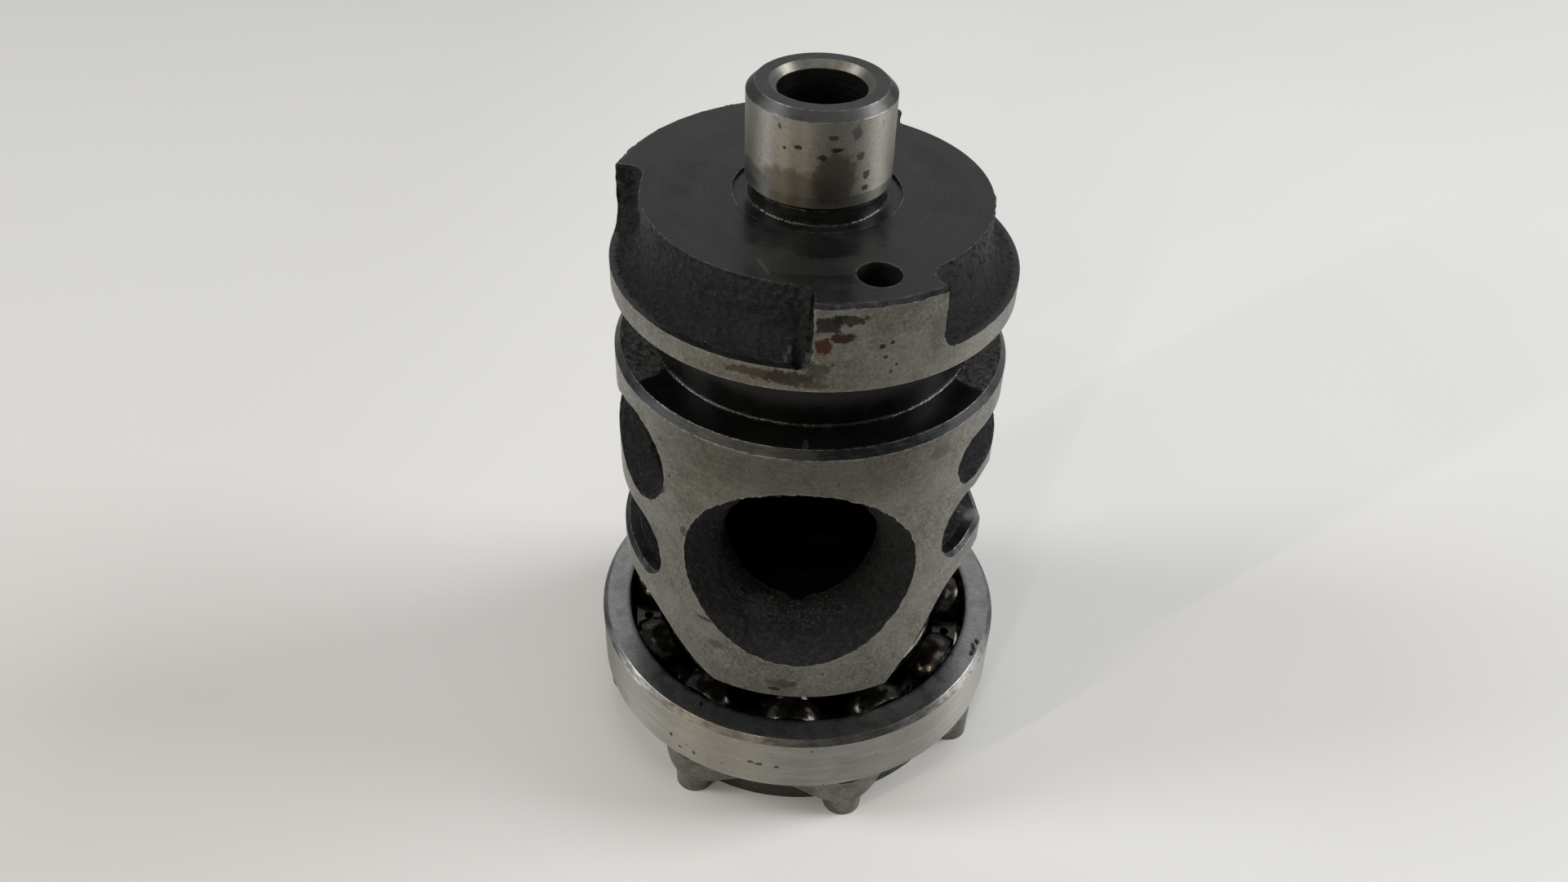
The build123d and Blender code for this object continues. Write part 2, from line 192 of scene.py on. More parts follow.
def build(name, points, triangles, zones, materials, sharp_angle=32):
    """A mesh object from points and triangles, with one material for each zone."""
    mesh = bpy.data.meshes.new(name)
    mesh.vertices.add(len(points))
    mesh.vertices.foreach_set("co", points.astype(np.float32).ravel())
    mesh.loops.add(len(triangles) * 3)
    mesh.loops.foreach_set("vertex_index", triangles.astype(np.int32).ravel())
    mesh.polygons.add(len(triangles))
    mesh.polygons.foreach_set("loop_start", np.arange(0, len(triangles) * 3, 3, dtype=np.int32))
    mesh.polygons.foreach_set("material_index", zones.astype(np.int32))
    for material in materials:
        mesh.materials.append(material)
    mesh.update(calc_edges=True)
    mesh.validate()
    mesh.polygons.foreach_set("use_smooth", np.ones(len(mesh.polygons), bool))
    mesh.set_sharp_from_angle(angle=radians(sharp_angle))
    piece = bpy.data.objects.new(name, mesh)
    bpy.context.scene.collection.objects.link(piece)
    return piece


def sharp_edges(points, triangles, normals):
    """A search tree of closely spaced places along every sharp edge."""
    numbers, ends = edges_of(triangles)
    _, sharp = rounded_middles(points, triangles, normals, numbers, ends)
    start, end = points[ends[sharp, 0]], points[ends[sharp, 1]]
    steps = int(np.ceil(np.linalg.norm(end - start, axis=1).max() / EDGE_SPACING)) if len(start) else 1
    shares = np.linspace(0, 1, min(steps, 40) + 1)
    places = (start[:, None] + (end - start)[:, None] * shares[None, :, None]).reshape(-1, 3)
    cell = np.round(places / (EDGE_SPACING / 2)).astype(np.int64)
    places = places[np.unique(cell, axis=0, return_index=True)[1]]
    tree = KDTree(len(places))
    for i, place in enumerate(places):
        tree.insert(place, i)
    tree.balance()
    return tree


def distance_to(tree, points):
    """How far each point lies from the nearest place in a search tree, up to the reach of wear."""
    return np.minimum([tree.find(p)[2] for p in points], EDGE_REACH)


EDGE_SPACING = 0.12 * MM
EDGE_REACH = 0.6 * MM


def soft_noise(points, size, seed=0.0):
    """Smooth noise between about -1 and 1 with features of one size."""
    offset = Vector((seed, seed * 1.7, seed * 2.3))
    return np.array([noise.noise(Vector(p) / size + offset) for p in points])


def add_value(piece, name, values):
    attribute = piece.data.attributes.new(name, "FLOAT", "POINT")
    attribute.data.foreach_set("value", values.astype(np.float32))


# Materials: one function for each finish, on Object coordinates

class Finish:
    """A material under construction, with short helpers for its nodes."""

    def __init__(self, name):
        self.material = bpy.data.materials.new(name)
        self.material.use_nodes = True
        self.tree = self.material.node_tree
        self.shader = self.tree.nodes["Principled BSDF"]
        self.place = self.tree.nodes.new("ShaderNodeTexCoord").outputs["Object"]

    def node(self, kind, **settings):
        made = self.tree.nodes.new("ShaderNode" + kind)
        for key, value in settings.items():
            setattr(made, key, value)
        return made

    def feed(self, socket, value):
        if isinstance(value, bpy.types.NodeSocket):
            self.tree.links.new(value, socket)
        else:
            socket.default_value = value

    def noise(self, size, detail=4.0, rough=0.55, stretch=None, distortion=0.0):
        """Cloudy noise from 0 to 1 whose features are about one size in metres."""
        made = self.node("TexNoise")
        self.feed(made.inputs["Vector"], self.stretched(stretch) if stretch else self.place)
        made.inputs["Scale"].default_value = 1 / size
        made.inputs["Detail"].default_value = detail
        made.inputs["Roughness"].default_value = rough
        made.inputs["Distortion"].default_value = distortion
        return made.outputs["Fac"]

    def rings(self, size, stretch):
        """Fine rings round the axis, as turning and grinding leave them."""
        return self.noise(size, 2.0, 0.5, stretch=(stretch, stretch, 1.0))

    def stretched(self, scale):
        mapping = self.node("Mapping")
        self.feed(mapping.inputs["Vector"], self.place)
        mapping.inputs["Scale"].default_value = scale
        return mapping.outputs["Vector"]

    def cells(self, size):
        made = self.node("TexVoronoi")
        self.feed(made.inputs["Vector"], self.place)
        made.inputs["Scale"].default_value = 1 / size
        return made.outputs["Distance"]

    def range(self, value, low, high, to_low=0.0, to_high=1.0):
        made = self.node("MapRange", interpolation_type="SMOOTHSTEP")
        for name, v in (("Value", value), ("From Min", low), ("From Max", high),
                        ("To Min", to_low), ("To Max", to_high)):
            self.feed(made.inputs[name], v)
        return made.outputs["Result"]

    def fall(self, value, low, high):
        """1 below the low limit and 0 above the high one."""
        return self.range(value, low, high, 1.0, 0.0)

    def math(self, operation, a, b=0.0):
        made = self.node("Math", operation=operation)
        self.feed(made.inputs[0], a)
        self.feed(made.inputs[1], b)
        return made.outputs[0]

    def times(self, a, b):
        return self.math("MULTIPLY", a, b)

    def mix(self, factor, a, b):
        made = self.node("Mix", data_type="RGBA")
        self.feed(made.inputs["Factor"], factor)
        self.feed(made.inputs[6], (*a, 1) if isinstance(a, tuple) else a)
        self.feed(made.inputs[7], (*b, 1) if isinstance(b, tuple) else b)
        return made.outputs[2]

    def ramp(self, value, *stops):
        made = self.node("ValToRGB")
        elements = made.color_ramp.elements
        for position, color in stops[2:]:
            elements.new(position)
        for element, (position, color) in zip(elements, stops):
            element.position = position
            element.color = (*color, 1)
        self.feed(made.inputs["Fac"], value)
        return made.outputs["Color"]

    def value(self, name):
        """A value that the mesh carries at its points."""
        return self.node("Attribute", attribute_name=name).outputs["Fac"]

    def split_place(self):
        made = self.node("SeparateXYZ")
        self.feed(made.inputs[0], self.place)
        return made.outputs

    def across(self):
        return self.split_place()[0]

    def back(self):
        return self.split_place()[1]

    def height(self):
        return self.split_place()[2]

    def radius(self):
        """Distance from the drum's axis."""
        x, y, _ = self.split_place()
        return self.math("SQRT", self.math("ADD", self.times(x, x), self.times(y, y)))

    def spot(self, centre, size, ragged=0.5, grain=0.0008, turn=0.0):
        """A ragged stain: 1 inside an ellipsoid round a point, 0 outside. It turns about Z, in degrees."""
        mapping = self.node("Mapping", vector_type="TEXTURE")
        self.feed(mapping.inputs["Vector"], self.place)
        mapping.inputs["Location"].default_value = centre
        mapping.inputs["Rotation"].default_value = (0, 0, radians(turn))
        mapping.inputs["Scale"].default_value = size
        length = self.node("VectorMath", operation="LENGTH")
        self.feed(length.inputs[0], mapping.outputs["Vector"])
        edge = self.times(self.math("SUBTRACT", self.noise(grain, 5.0, 0.6), 0.5), ragged * 4)
        return self.fall(self.math("ADD", length.outputs["Value"], edge), 0.75, 1.15)

    def cover(self, color, mask, strength, tint):
        """A colour with a tint laid over it where a mask is 1."""
        return self.mix(self.times(mask, strength), color, tint)

    def worn_edges(self, color, reach, strength, tint, patches=None, limits=(0, 1)):
        """A colour with its sharp edges rubbed to a tint, all over or in patches. Reach is in millimetres."""
        worn = self.fall(self.value("edge"), 0.0, reach)
        if patches is not None:
            worn = self.times(worn, self.range(patches, *limits))
        return self.cover(color, worn, strength, tint)

    def stained(self, color, stains, ragged=0.5, grain=0.8 * MM):
        """A colour with a list of stains laid over it."""
        for centre, size, tint, strength in stains:
            color = self.cover(color, self.spot(centre, size, ragged, grain), strength, tint)
        return color

    def bump(self, height, distance, strength=1.0, under=None):
        made = self.node("Bump")
        made.inputs["Distance"].default_value = distance
        made.inputs["Strength"].default_value = strength
        self.feed(made.inputs["Height"], height)
        if under is not None:
            self.feed(made.inputs["Normal"], under)
        return made.outputs["Normal"]

    def pressed(self, mask, depth, strength, under):
        """Presses the spots of a mask into the surface."""
        return self.bump(self.math("SUBTRACT", 1.0, mask), depth, strength, under)

    def brushed(self, amount):
        """Stretches highlights upright, as fine grinding lines round the axis do."""
        upright = self.node("CombineXYZ")
        upright.inputs["Z"].default_value = 1.0
        self.feed(self.shader.inputs["Tangent"], upright.outputs[0])
        self.shader.inputs["Anisotropic"].default_value = amount

    def done(self, color, roughness, normal, metallic=1.0, specular=0.5):
        self.feed(self.shader.inputs["Base Color"], color)
        self.feed(self.shader.inputs["Roughness"], roughness)
        self.feed(self.shader.inputs["Normal"], normal)
        self.shader.inputs["Metallic"].default_value = metallic
        self.shader.inputs["Specular IOR Level"].default_value = specular
        return self.material


STEEL_WARM = (0.205, 0.196, 0.172)
STEEL_LIGHT = (0.34, 0.334, 0.308)
STEEL_DIM = (0.075, 0.07, 0.058)
OXIDE_BLACK = (0.012, 0.013, 0.013)
CAST_DARK = (0.009, 0.009, 0.0095)
CAST_BLUE = (0.036, 0.039, 0.044)
RUST_BROWN = (0.05, 0.02, 0.010)
STAIN_GREY = (0.014, 0.013, 0.012)
OLD_OIL = (0.012, 0.010, 0.007)


def ground_steel():
    """The drum's ground outside: warm grey, darker at the front under a thin brown patina that is partly
    painted shade, with stains, pits and worn edges.
    """
    f = Finish("ground_steel")
    speck = f.noise(0.34 * MM, 5.0, 0.7)
    patch = f.noise(1.6 * MM, 5.0, 0.65, distortion=0.4)
    cloud = f.noise(7 * MM, 4.0, 0.6)
    color = f.ramp(speck, (0.28, STEEL_DIM), (0.5, STEEL_WARM), (0.74, STEEL_LIGHT))
    color = f.mix(f.range(patch, 0.40, 0.62, 0.0, 0.6), color, (0.11, 0.104, 0.088))
    color = f.mix(f.range(cloud, 0.42, 0.62, 0.0, 0.5), color, (0.25, 0.243, 0.22))
    _, y, height = f.split_place()
    # The front is darkened by a brown patina that also stands in for painted shade on the front; the band
    # just below the top track is darkened the same way.
    front = f.fall(f.math("DIVIDE", y, drum_radius), -1.0, -0.55)
    front_film_and_shade = f.times(front, f.range(cloud, 0.3, 0.7, 0.62, 0.36))
    color = f.mix(front_film_and_shade, color, f.ramp(speck, (0.3, (0.04, 0.036, 0.028)), (0.7, (0.115, 0.105, 0.082))))
    under_track = f.times(front, f.range(height, 43 * MM, 49 * MM))
    under_track = f.times(under_track, f.fall(height, 53 * MM, 56 * MM))
    color = f.cover(color, under_track, 0.55, (0.045, 0.041, 0.032))
    rings = f.rings(0.12 * MM, 0.03)
    color = f.mix(f.range(rings, 0.35, 0.75, 0.0, 0.14), color, (0.26, 0.255, 0.24))
    pits = f.fall(f.cells(1.5 * MM), 0.09, 0.16)
    pits = f.times(pits, f.range(f.noise(4 * MM, 2.0), 0.5, 0.6))
    color = f.cover(color, pits, 0.8, (0.028, 0.024, 0.02))
    freckles = f.range(f.noise(0.8 * MM, 6.0, 0.75, distortion=0.8), 0.60, 0.70)
    color = f.cover(color, freckles, 0.5, (0.045, 0.036, 0.026))
    color = f.stained(color, DRUM_STAINS, 0.6)
    color = f.worn_edges(color, 0.24, 0.45, (0.36, 0.36, 0.34), f.noise(0.8 * MM, 3.0), (0.4, 0.62))
    rough = f.range(speck, 0.3, 0.7, 0.50, 0.34)
    rough = f.math("ADD", rough, f.times(freckles, 0.12))
    normal = f.bump(speck, 0.022 * MM, 0.6)
    normal = f.bump(rings, 0.008 * MM, 0.6, normal)
    normal = f.pressed(pits, 0.03 * MM, 0.8, normal)
    return f.done(color, rough, normal, metallic=0.9)


DRUM_STAINS = [
    stain(-3.2, 20.1, (1.5, 1.2, 0.7), (0.06, 0.045, 0.034), 0.85),
    stain(-5.6, 19.2, (0.7, 1.0, 0.35), (0.025, 0.016, 0.013), 0.9),
    stain(-28.4, 27.0, (1.3, 1.2, 0.25), (0.05, 0.038, 0.028), 0.9),
    stain(-24.9, 23.9, (0.9, 1.2, 0.6), (0.06, 0.05, 0.04), 0.7),
    stain(-44.3, 42.4, (0.5, 0.5, 0.6), STAIN_GREY, 0.8),
    stain(-35.4, 38.1, (0.5, 0.5, 0.7), (0.04, 0.04, 0.04), 0.8),
    stain(40.7, 49.5, (1.4, 1.4, 0.8), (0.06, 0.056, 0.05), 0.6),
    stain(3.6, 64.3, (0.75, 1.2, 1.0), RUST_BROWN, 0.95),
    stain(7.8, 65.2, (1.3, 1.2, 0.55), (0.028, 0.013, 0.010), 0.95),
    stain(4.2, 66.7, (1.6, 1.2, 0.95), STAIN_GREY, 0.9),
    stain(9.6, 67.0, (1.5, 1.2, 0.6), STAIN_GREY, 0.85),
    stain(-12.5, 60.9, (3.6, 1.5, 0.55), (0.05, 0.037, 0.028), 0.85),
    stain(-5.0, 60.8, (2.6, 1.5, 0.75), (0.036, 0.028, 0.024), 0.9),
    stain(1.6, 61.6, (1.2, 1.2, 1.1), (0.04, 0.034, 0.028), 0.75),
    stain(2.2, 60.2, (1.3, 1.2, 0.4), (0.06, 0.052, 0.03), 0.8),
    stain(34.0, 64.3, (1.2, 1.2, 1.5), (0.10, 0.09, 0.078), 0.6),
    stain(18.2, 64.0, (0.28, 0.4, 0.25), (0.02, 0.014, 0.01), 0.95),
    stain(20.8, 64.3, (0.24, 0.4, 0.22), (0.02, 0.014, 0.01), 0.95),
    stain(19.4, 62.8, (0.22, 0.4, 0.22), (0.02, 0.016, 0.012), 0.9),
]


def machined_black():
    """Black-oxide faces with fine turning rings, oily in patches, bright where edges are worn, and darkened
    to near black in the top track and below it as painted shade.
    """
    f = Finish("machined_black")
    cloud = f.noise(3.4 * MM, 5.0, 0.6)
    rings = f.node("TexNoise", noise_dimensions="2D")
    combine = f.node("CombineXYZ")
    radius = f.radius()
    f.feed(combine.inputs[0], f.math("ADD", radius, f.height()))
    f.feed(rings.inputs["Vector"], combine.outputs[0])
    rings.inputs["Scale"].default_value = 1 / (0.35 * MM)
    color = f.mix(f.range(cloud, 0.35, 0.7), OXIDE_BLACK, (0.024, 0.025, 0.024))
    color = f.mix(f.range(rings.outputs["Fac"], 0.4, 0.75, 0.0, 0.35), color, (0.045, 0.045, 0.043))
    scratch = f.range(f.noise(2.2 * MM, 8.0, 0.8, stretch=(1.0, 0.12, 1.0), distortion=1.5), 0.66, 0.70)
    color = f.cover(color, scratch, 0.3, (0.12, 0.12, 0.11))
    # Painted shade: the black faces in the top track and below it are darkened to near black.
    painted_track_shade = f.fall(f.height(), 58 * MM, 60 * MM)
    color = f.cover(color, painted_track_shade, 0.75, (0.003, 0.003, 0.0028))
    ragged = f.times(f.math("SUBTRACT", cloud, 0.5), 4 * MM)
    reach = f.math("ADD", radius, ragged)
    worn_ring = f.range(reach, 11.5 * MM, 12.6 * MM)
    worn_ring = f.times(worn_ring, f.fall(reach, 14.6 * MM, 15.4 * MM))
    worn_ring = f.times(worn_ring, f.range(f.height(), 68.0 * MM, 68.4 * MM))
    color = f.cover(color, worn_ring, 0.4, (0.045, 0.046, 0.045))
    for centre, size, turn, tint, strength in SCRIBED_LINES:
        color = f.cover(color, f.spot(centre, size, 0.25, 0.3 * MM, turn), strength, tint)
    color = f.worn_edges(color, 0.2, 0.6, (0.19, 0.19, 0.18), f.noise(0.7 * MM, 4.0, 0.7), (0.42, 0.62))
    rough = f.range(cloud, 0.3, 0.7, 0.20, 0.36)
    rough = f.math("ADD", rough, f.times(worn_ring, 0.12))
    normal = f.bump(rings.outputs["Fac"], 0.006 * MM, 0.5)
    normal = f.bump(f.noise(0.3 * MM, 3.0), 0.006 * MM, 0.5, normal)
    return f.done(color, rough, normal, metallic=0.6)


# Short lines across the top track's lower wall, and one scratch on the flange.
# Each has a place, a size, a turn in degrees, a colour and a strength.
SCRIBED_LINES = [
    (on_drum(-58.6, top_track_wall, 18.2 * MM), (0.14 * MM, 1.1 * MM, 0.4 * MM),
     -58.6, (0.11, 0.108, 0.10), 0.9),
    (on_drum(0.2, top_track_wall, 19.2 * MM), (0.3 * MM, 1.1 * MM, 0.4 * MM),
     0.2, (0.045, 0.045, 0.043), 0.9),
    (on_drum(62.0, top_track_wall, 18.8 * MM), (0.14 * MM, 1.1 * MM, 0.4 * MM),
     62.0, (0.11, 0.108, 0.10), 0.9),
    (on_drum(-17.2, flange_top, 14.9 * MM), (0.2 * MM, 1.5 * MM, 0.4 * MM),
     25.0, (0.07, 0.07, 0.067), 0.7),
]


def rough_cast():
    """The skin left by the casting mould: near black and gritty, with painted bluish glints, painted glitter
    on the window's throat lip, and painted shade in a pit.
    """
    f = Finish("rough_cast")
    grit = f.noise(0.5 * MM, 6.0, 0.75)
    fine = f.cells(0.2 * MM)
    cloud = f.noise(2.8 * MM, 4.0, 0.6)
    color = f.ramp(grit, (0.36, (0.003, 0.003, 0.0032)), (0.52, CAST_DARK), (0.66, CAST_BLUE))
    color = f.mix(f.range(cloud, 0.5, 0.72, 0.0, 0.5), color, (0.022, 0.021, 0.021))
    level = f.height()
    upper = f.range(level, 51.5 * MM, 52.2 * MM)
    upper = f.times(upper, f.fall(level, 53.0 * MM, 53.4 * MM))
    color = f.mix(f.times(upper, f.range(grit, 0.35, 0.65)), color, (0.085, 0.085, 0.078))
    # Painted glints: small bluish flecks stand in for highlights on the grit, and are also made smoother.
    painted_glints = f.range(f.noise(0.15 * MM, 2.0, 0.5), 0.68, 0.74)
    painted_glints = f.times(painted_glints, f.range(f.noise(1.1 * MM, 3.0), 0.45, 0.62))
    color = f.cover(color, painted_glints, 0.8, (0.22, 0.235, 0.25))
    wet = f.spot(THROAT_LIP, (5.5 * MM, 2.6 * MM, 2.2 * MM), 0.7, 0.9 * MM)
    # Painted glitter on the wet throat lip: bright dots stand in for highlights, and the wet lip is also made
    # smoother.
    painted_glitter = f.range(f.noise(0.17 * MM, 2.0, 0.5), 0.58, 0.66)
    color = f.mix(f.times(wet, f.times(painted_glitter, 0.6)), color, (0.2, 0.2, 0.19))
    # Painted glints and painted pit shade, with one bluish patch, from the list below.
    color = f.stained(color, CAST_MARKS_GLINTS_AND_SHADE, 0.6, 0.6 * MM)
    rough = f.range(grit, 0.35, 0.68, 0.62, 0.30)
    rough = f.math("SUBTRACT", rough, f.times(f.math("MAXIMUM", painted_glints, wet), 0.24))
    normal = f.bump(grit, 0.5 * MM, 1.0)
    strokes = f.noise(1.5 * MM, 5.0, 0.7, stretch=(1.0, 1.0, 0.5), distortion=0.6)
    normal = f.bump(strokes, 0.5 * MM, 0.6, normal)
    normal = f.bump(fine, 0.03 * MM, 0.8, normal)
    return f.done(color, rough, normal, metallic=0.3, specular=0.42)


THROAT_LIP = (0, -window_throat_depth - 0.8 * MM, window_height - 8.4 * MM)
# Marks on the cast skin: two painted bluish glints beside the pit in the scoop's corner, painted shade inside
# that pit, and a bluish patch low in the window's funnel.
CAST_MARKS_GLINTS_AND_SHADE = [
    stain(-5.6, 62.6, (0.45, 1.0, 1.2), (0.10, 0.115, 0.125), 0.7, 19.0 * MM),
    stain(-0.8, 62.9, (0.8, 1.0, 1.3), (0.085, 0.098, 0.11), 0.75, 19.4 * MM),
    stain(-3.1, 62.7, (0.4, 1.4, 2.2), (0.002, 0.002, 0.002), 0.95, 19.2 * MM),
    stain(-14.0, 27.0, (1.6, 1.4, 1.0), (0.04, 0.045, 0.05), 0.6, 16.0 * MM),
]


def hollow_black():
    """The casting's inside: black skin under old oil, darkened to near black as painted shade of the hollow,
    with a thin painted highlight on its edges.
    """
    f = Finish("hollow_black")
    grit = f.noise(0.6 * MM, 5.0, 0.7)
    # Near black: painted shade inside the drum.
    color = f.ramp(grit, (0.3, (0.0012, 0.0012, 0.0012)), (0.7, (0.004, 0.004, 0.004)))
    # Painted highlight: the worn-edge tint stands in for a thin highlight along the edges.
    color = f.worn_edges(color, 0.07, 0.4, (0.2, 0.2, 0.19), f.noise(1.6 * MM, 3.0), (0.4, 0.6))
    normal = f.bump(grit, 0.1 * MM, 0.7)
    return f.done(color, f.range(grit, 0.3, 0.7, 0.62, 0.45), normal, metallic=0.2, specular=0.12)


def milled_steel():
    """Milled walls and chamfers: dark grey, lighter at the journal's end, with tool marks and worn edges."""
    f = Finish("milled_steel")
    cloud = f.noise(1.5 * MM, 5.0, 0.65)
    lines = f.rings(0.14 * MM, 0.06)
    color = f.mix(f.range(cloud, 0.35, 0.68), (0.015, 0.0155, 0.016), (0.032, 0.033, 0.034))
    at_top = f.range(f.height(), 77 * MM, 78 * MM)
    color = f.cover(color, at_top, 0.6, (0.095, 0.093, 0.09))
    color = f.mix(f.range(lines, 0.4, 0.75, 0.0, 0.22), color, (0.085, 0.087, 0.089))
    color = f.worn_edges(color, 0.12, 0.7, (0.26, 0.265, 0.265), f.noise(0.6 * MM, 4.0, 0.7), (0.38, 0.6))
    rough = f.range(cloud, 0.3, 0.7, 0.32, 0.48)
    normal = f.bump(lines, 0.008 * MM, 0.6)
    normal = f.bump(cloud, 0.03 * MM, 0.4, normal)
    return f.done(color, rough, normal, metallic=0.85)


def journal_steel():
    """The ground journal: worn bright in bands, with a dark heat stain round its foot and rust spots."""
    f = Finish("journal_steel")
    speck = f.noise(0.42 * MM, 5.0, 0.65)
    rings = f.rings(0.10 * MM, 0.03)
    cloud = f.noise(2.2 * MM, 5.0, 0.65)
    color = f.ramp(speck, (0.3, (0.185, 0.175, 0.15)), (0.7, (0.265, 0.254, 0.224)))
    color = f.mix(f.range(cloud, 0.40, 0.70, 0.0, 0.3), color, (0.26, 0.252, 0.23))
    color = f.mix(f.range(rings, 0.35, 0.75, 0.0, 0.25), color, (0.32, 0.315, 0.30))
    height = f.height()
    low = f.fall(f.math("ADD", height, f.times(cloud, 0.8 * MM)), 71.6 * MM, 71.8 * MM)
    color = f.cover(color, low, 0.6, (0.06, 0.054, 0.046))
    color = f.stained(color, JOURNAL_STAINS, 0.2, 0.8 * MM)
    freckles = f.range(f.noise(0.6 * MM, 6.0, 0.75, distortion=0.8), 0.62, 0.70)
    freckles = f.times(freckles, f.range(f.across(), -2 * MM, 5 * MM, 0.25, 1.0))
    color = f.cover(color, freckles, 0.7, (0.045, 0.034, 0.026))
    color = f.stained(color, JOURNAL_SPOTS, 0.5, 0.5 * MM)
    rough = f.range(cloud, 0.3, 0.7, 0.46, 0.56)
    f.brushed(JOURNAL_BRUSH)
    normal = f.bump(rings, 0.006 * MM, 0.5)
    normal = f.pressed(freckles, 0.02 * MM, 0.5, normal)
    return f.done(color, rough, normal, metallic=0.95)


JOURNAL_BRUSH, RING_BRUSH = 0.8, 0.85
JOURNAL_STAINS = [
    stain(-22.0, 72.0, (4.6, 3.0, 2.0), (0.085, 0.078, 0.064), 0.7, journal_radius),
    stain(-62.0, 71.8, (2.6, 3.0, 1.2), (0.085, 0.078, 0.066), 0.6, journal_radius),
    stain(12.0, 73.2, (2.1, 3.0, 2.7), (0.07, 0.06, 0.047), 0.7, journal_radius),
]
JOURNAL_SPOTS = [
    stain(-46.0, 71.2, (0.9, 0.9, 0.8), (0.12, 0.118, 0.112), 0.8, journal_radius),
    stain(-15.8, 76.2, (0.35, 0.5, 0.2), (0.03, 0.02, 0.014), 0.9, journal_radius),
    stain(-26.0, 75.9, (0.14, 0.4, 0.16), (0.02, 0.014, 0.01), 0.95, journal_radius),
    stain(-30.6, 77.8, (0.2, 0.4, 0.25), (0.05, 0.046, 0.04), 0.8, journal_radius),
    stain(10.0, 77.3, (0.4, 0.5, 0.3), (0.045, 0.04, 0.034), 0.8, journal_radius),
    stain(13.5, 76.1, (0.55, 0.5, 0.26), (0.032, 0.024, 0.016), 0.95, journal_radius),
    stain(3.0, 75.4, (0.45, 0.5, 0.3), (0.04, 0.026, 0.016), 0.9, journal_radius),
    stain(27.8, 77.6, (0.5, 0.5, 0.7), (0.09, 0.088, 0.085), 0.8, journal_radius),
    stain(32.0, 75.2, (0.4, 0.5, 0.4), (0.06, 0.05, 0.045), 0.8, journal_radius),
    stain(37.7, 73.2, (0.35, 0.5, 0.5), (0.065, 0.042, 0.028), 0.9, journal_radius),
    stain(37.8, 71.9, (0.35, 0.5, 0.25), (0.035, 0.028, 0.024), 0.9, journal_radius),
]


def bearing_steel():
    """The outer ring's outside: satin ground steel with fine brushing, streaks, pits and small stains."""
    f = Finish("bearing_steel")
    speck = f.noise(0.3 * MM, 4.0, 0.6)
    rings = f.rings(0.09 * MM, 0.02)
    streaks = f.noise(0.7 * MM, 4.0, 0.6, stretch=(0.10, 0.10, 1.0))
    cloud = f.noise(5 * MM, 5.0, 0.6)
    color = f.ramp(speck, (0.3, (0.235, 0.229, 0.205)), (0.7, (0.31, 0.304, 0.28)))
    color = f.mix(f.range(cloud, 0.42, 0.68, 0.0, 0.55), color, (0.255, 0.24, 0.205))
    color = f.mix(f.range(streaks, 0.45, 0.7, 0.0, 0.5), color, (0.36, 0.355, 0.335))
    color = f.mix(f.range(rings, 0.35, 0.75, 0.0, 0.25), color, (0.42, 0.415, 0.40))
    pits = f.fall(f.cells(1.1 * MM), 0.10, 0.17)
    pits = f.times(pits, f.range(f.noise(3 * MM, 2.0), 0.56, 0.63))
    color = f.cover(color, pits, 0.8, (0.035, 0.03, 0.026))
    color = f.stained(color, RING_STAINS, 0.6, 0.5 * MM)
    rough = f.range(cloud, 0.3, 0.7, 0.38, 0.48)
    f.brushed(RING_BRUSH)
    normal = f.bump(rings, 0.006 * MM, 0.5)
    normal = f.pressed(pits, 0.03 * MM, 0.7, normal)
    return f.done(color, rough, normal, metallic=0.95)


RING_STAINS = [
    stain(-10.6, 10.2, (0.35, 0.6, 0.3), (0.06, 0.055, 0.05), 0.85, ring_radius),
    stain(-8.3, 10.1, (0.45, 0.6, 0.28), (0.06, 0.055, 0.05), 0.85, ring_radius),
    stain(-3.4, 10.0, (0.3, 0.5, 0.22), (0.035, 0.03, 0.025), 0.9, ring_radius),
    stain(-35.0, 9.4, (0.28, 0.5, 0.26), (0.04, 0.035, 0.03), 0.9, ring_radius),
    stain(-31.9, 8.2, (0.22, 0.5, 0.18), (0.04, 0.035, 0.03), 0.9, ring_radius),
    stain(-27.4, 8.4, (0.18, 0.5, 0.3), (0.04, 0.035, 0.03), 0.9, ring_radius),
    (on_drum(70.8, ring_top, 22.4 * MM), (0.24 * MM, 0.5 * MM, 0.5 * MM), (0.016, 0.013, 0.011), 0.95),
    (on_drum(68.4, ring_top, 22.3 * MM), (0.3 * MM, 0.9 * MM, 0.5 * MM), (0.02, 0.016, 0.014), 0.9),
    (on_drum(65.9, ring_top, 22.4 * MM), (0.3 * MM, 0.5 * MM, 0.5 * MM), (0.016, 0.013, 0.011), 0.95),
    (on_drum(-28.5, ring_top, 21.2 * MM), (0.16 * MM, 0.3 * MM, 0.5 * MM), (0.01, 0.009, 0.008), 0.95),
]


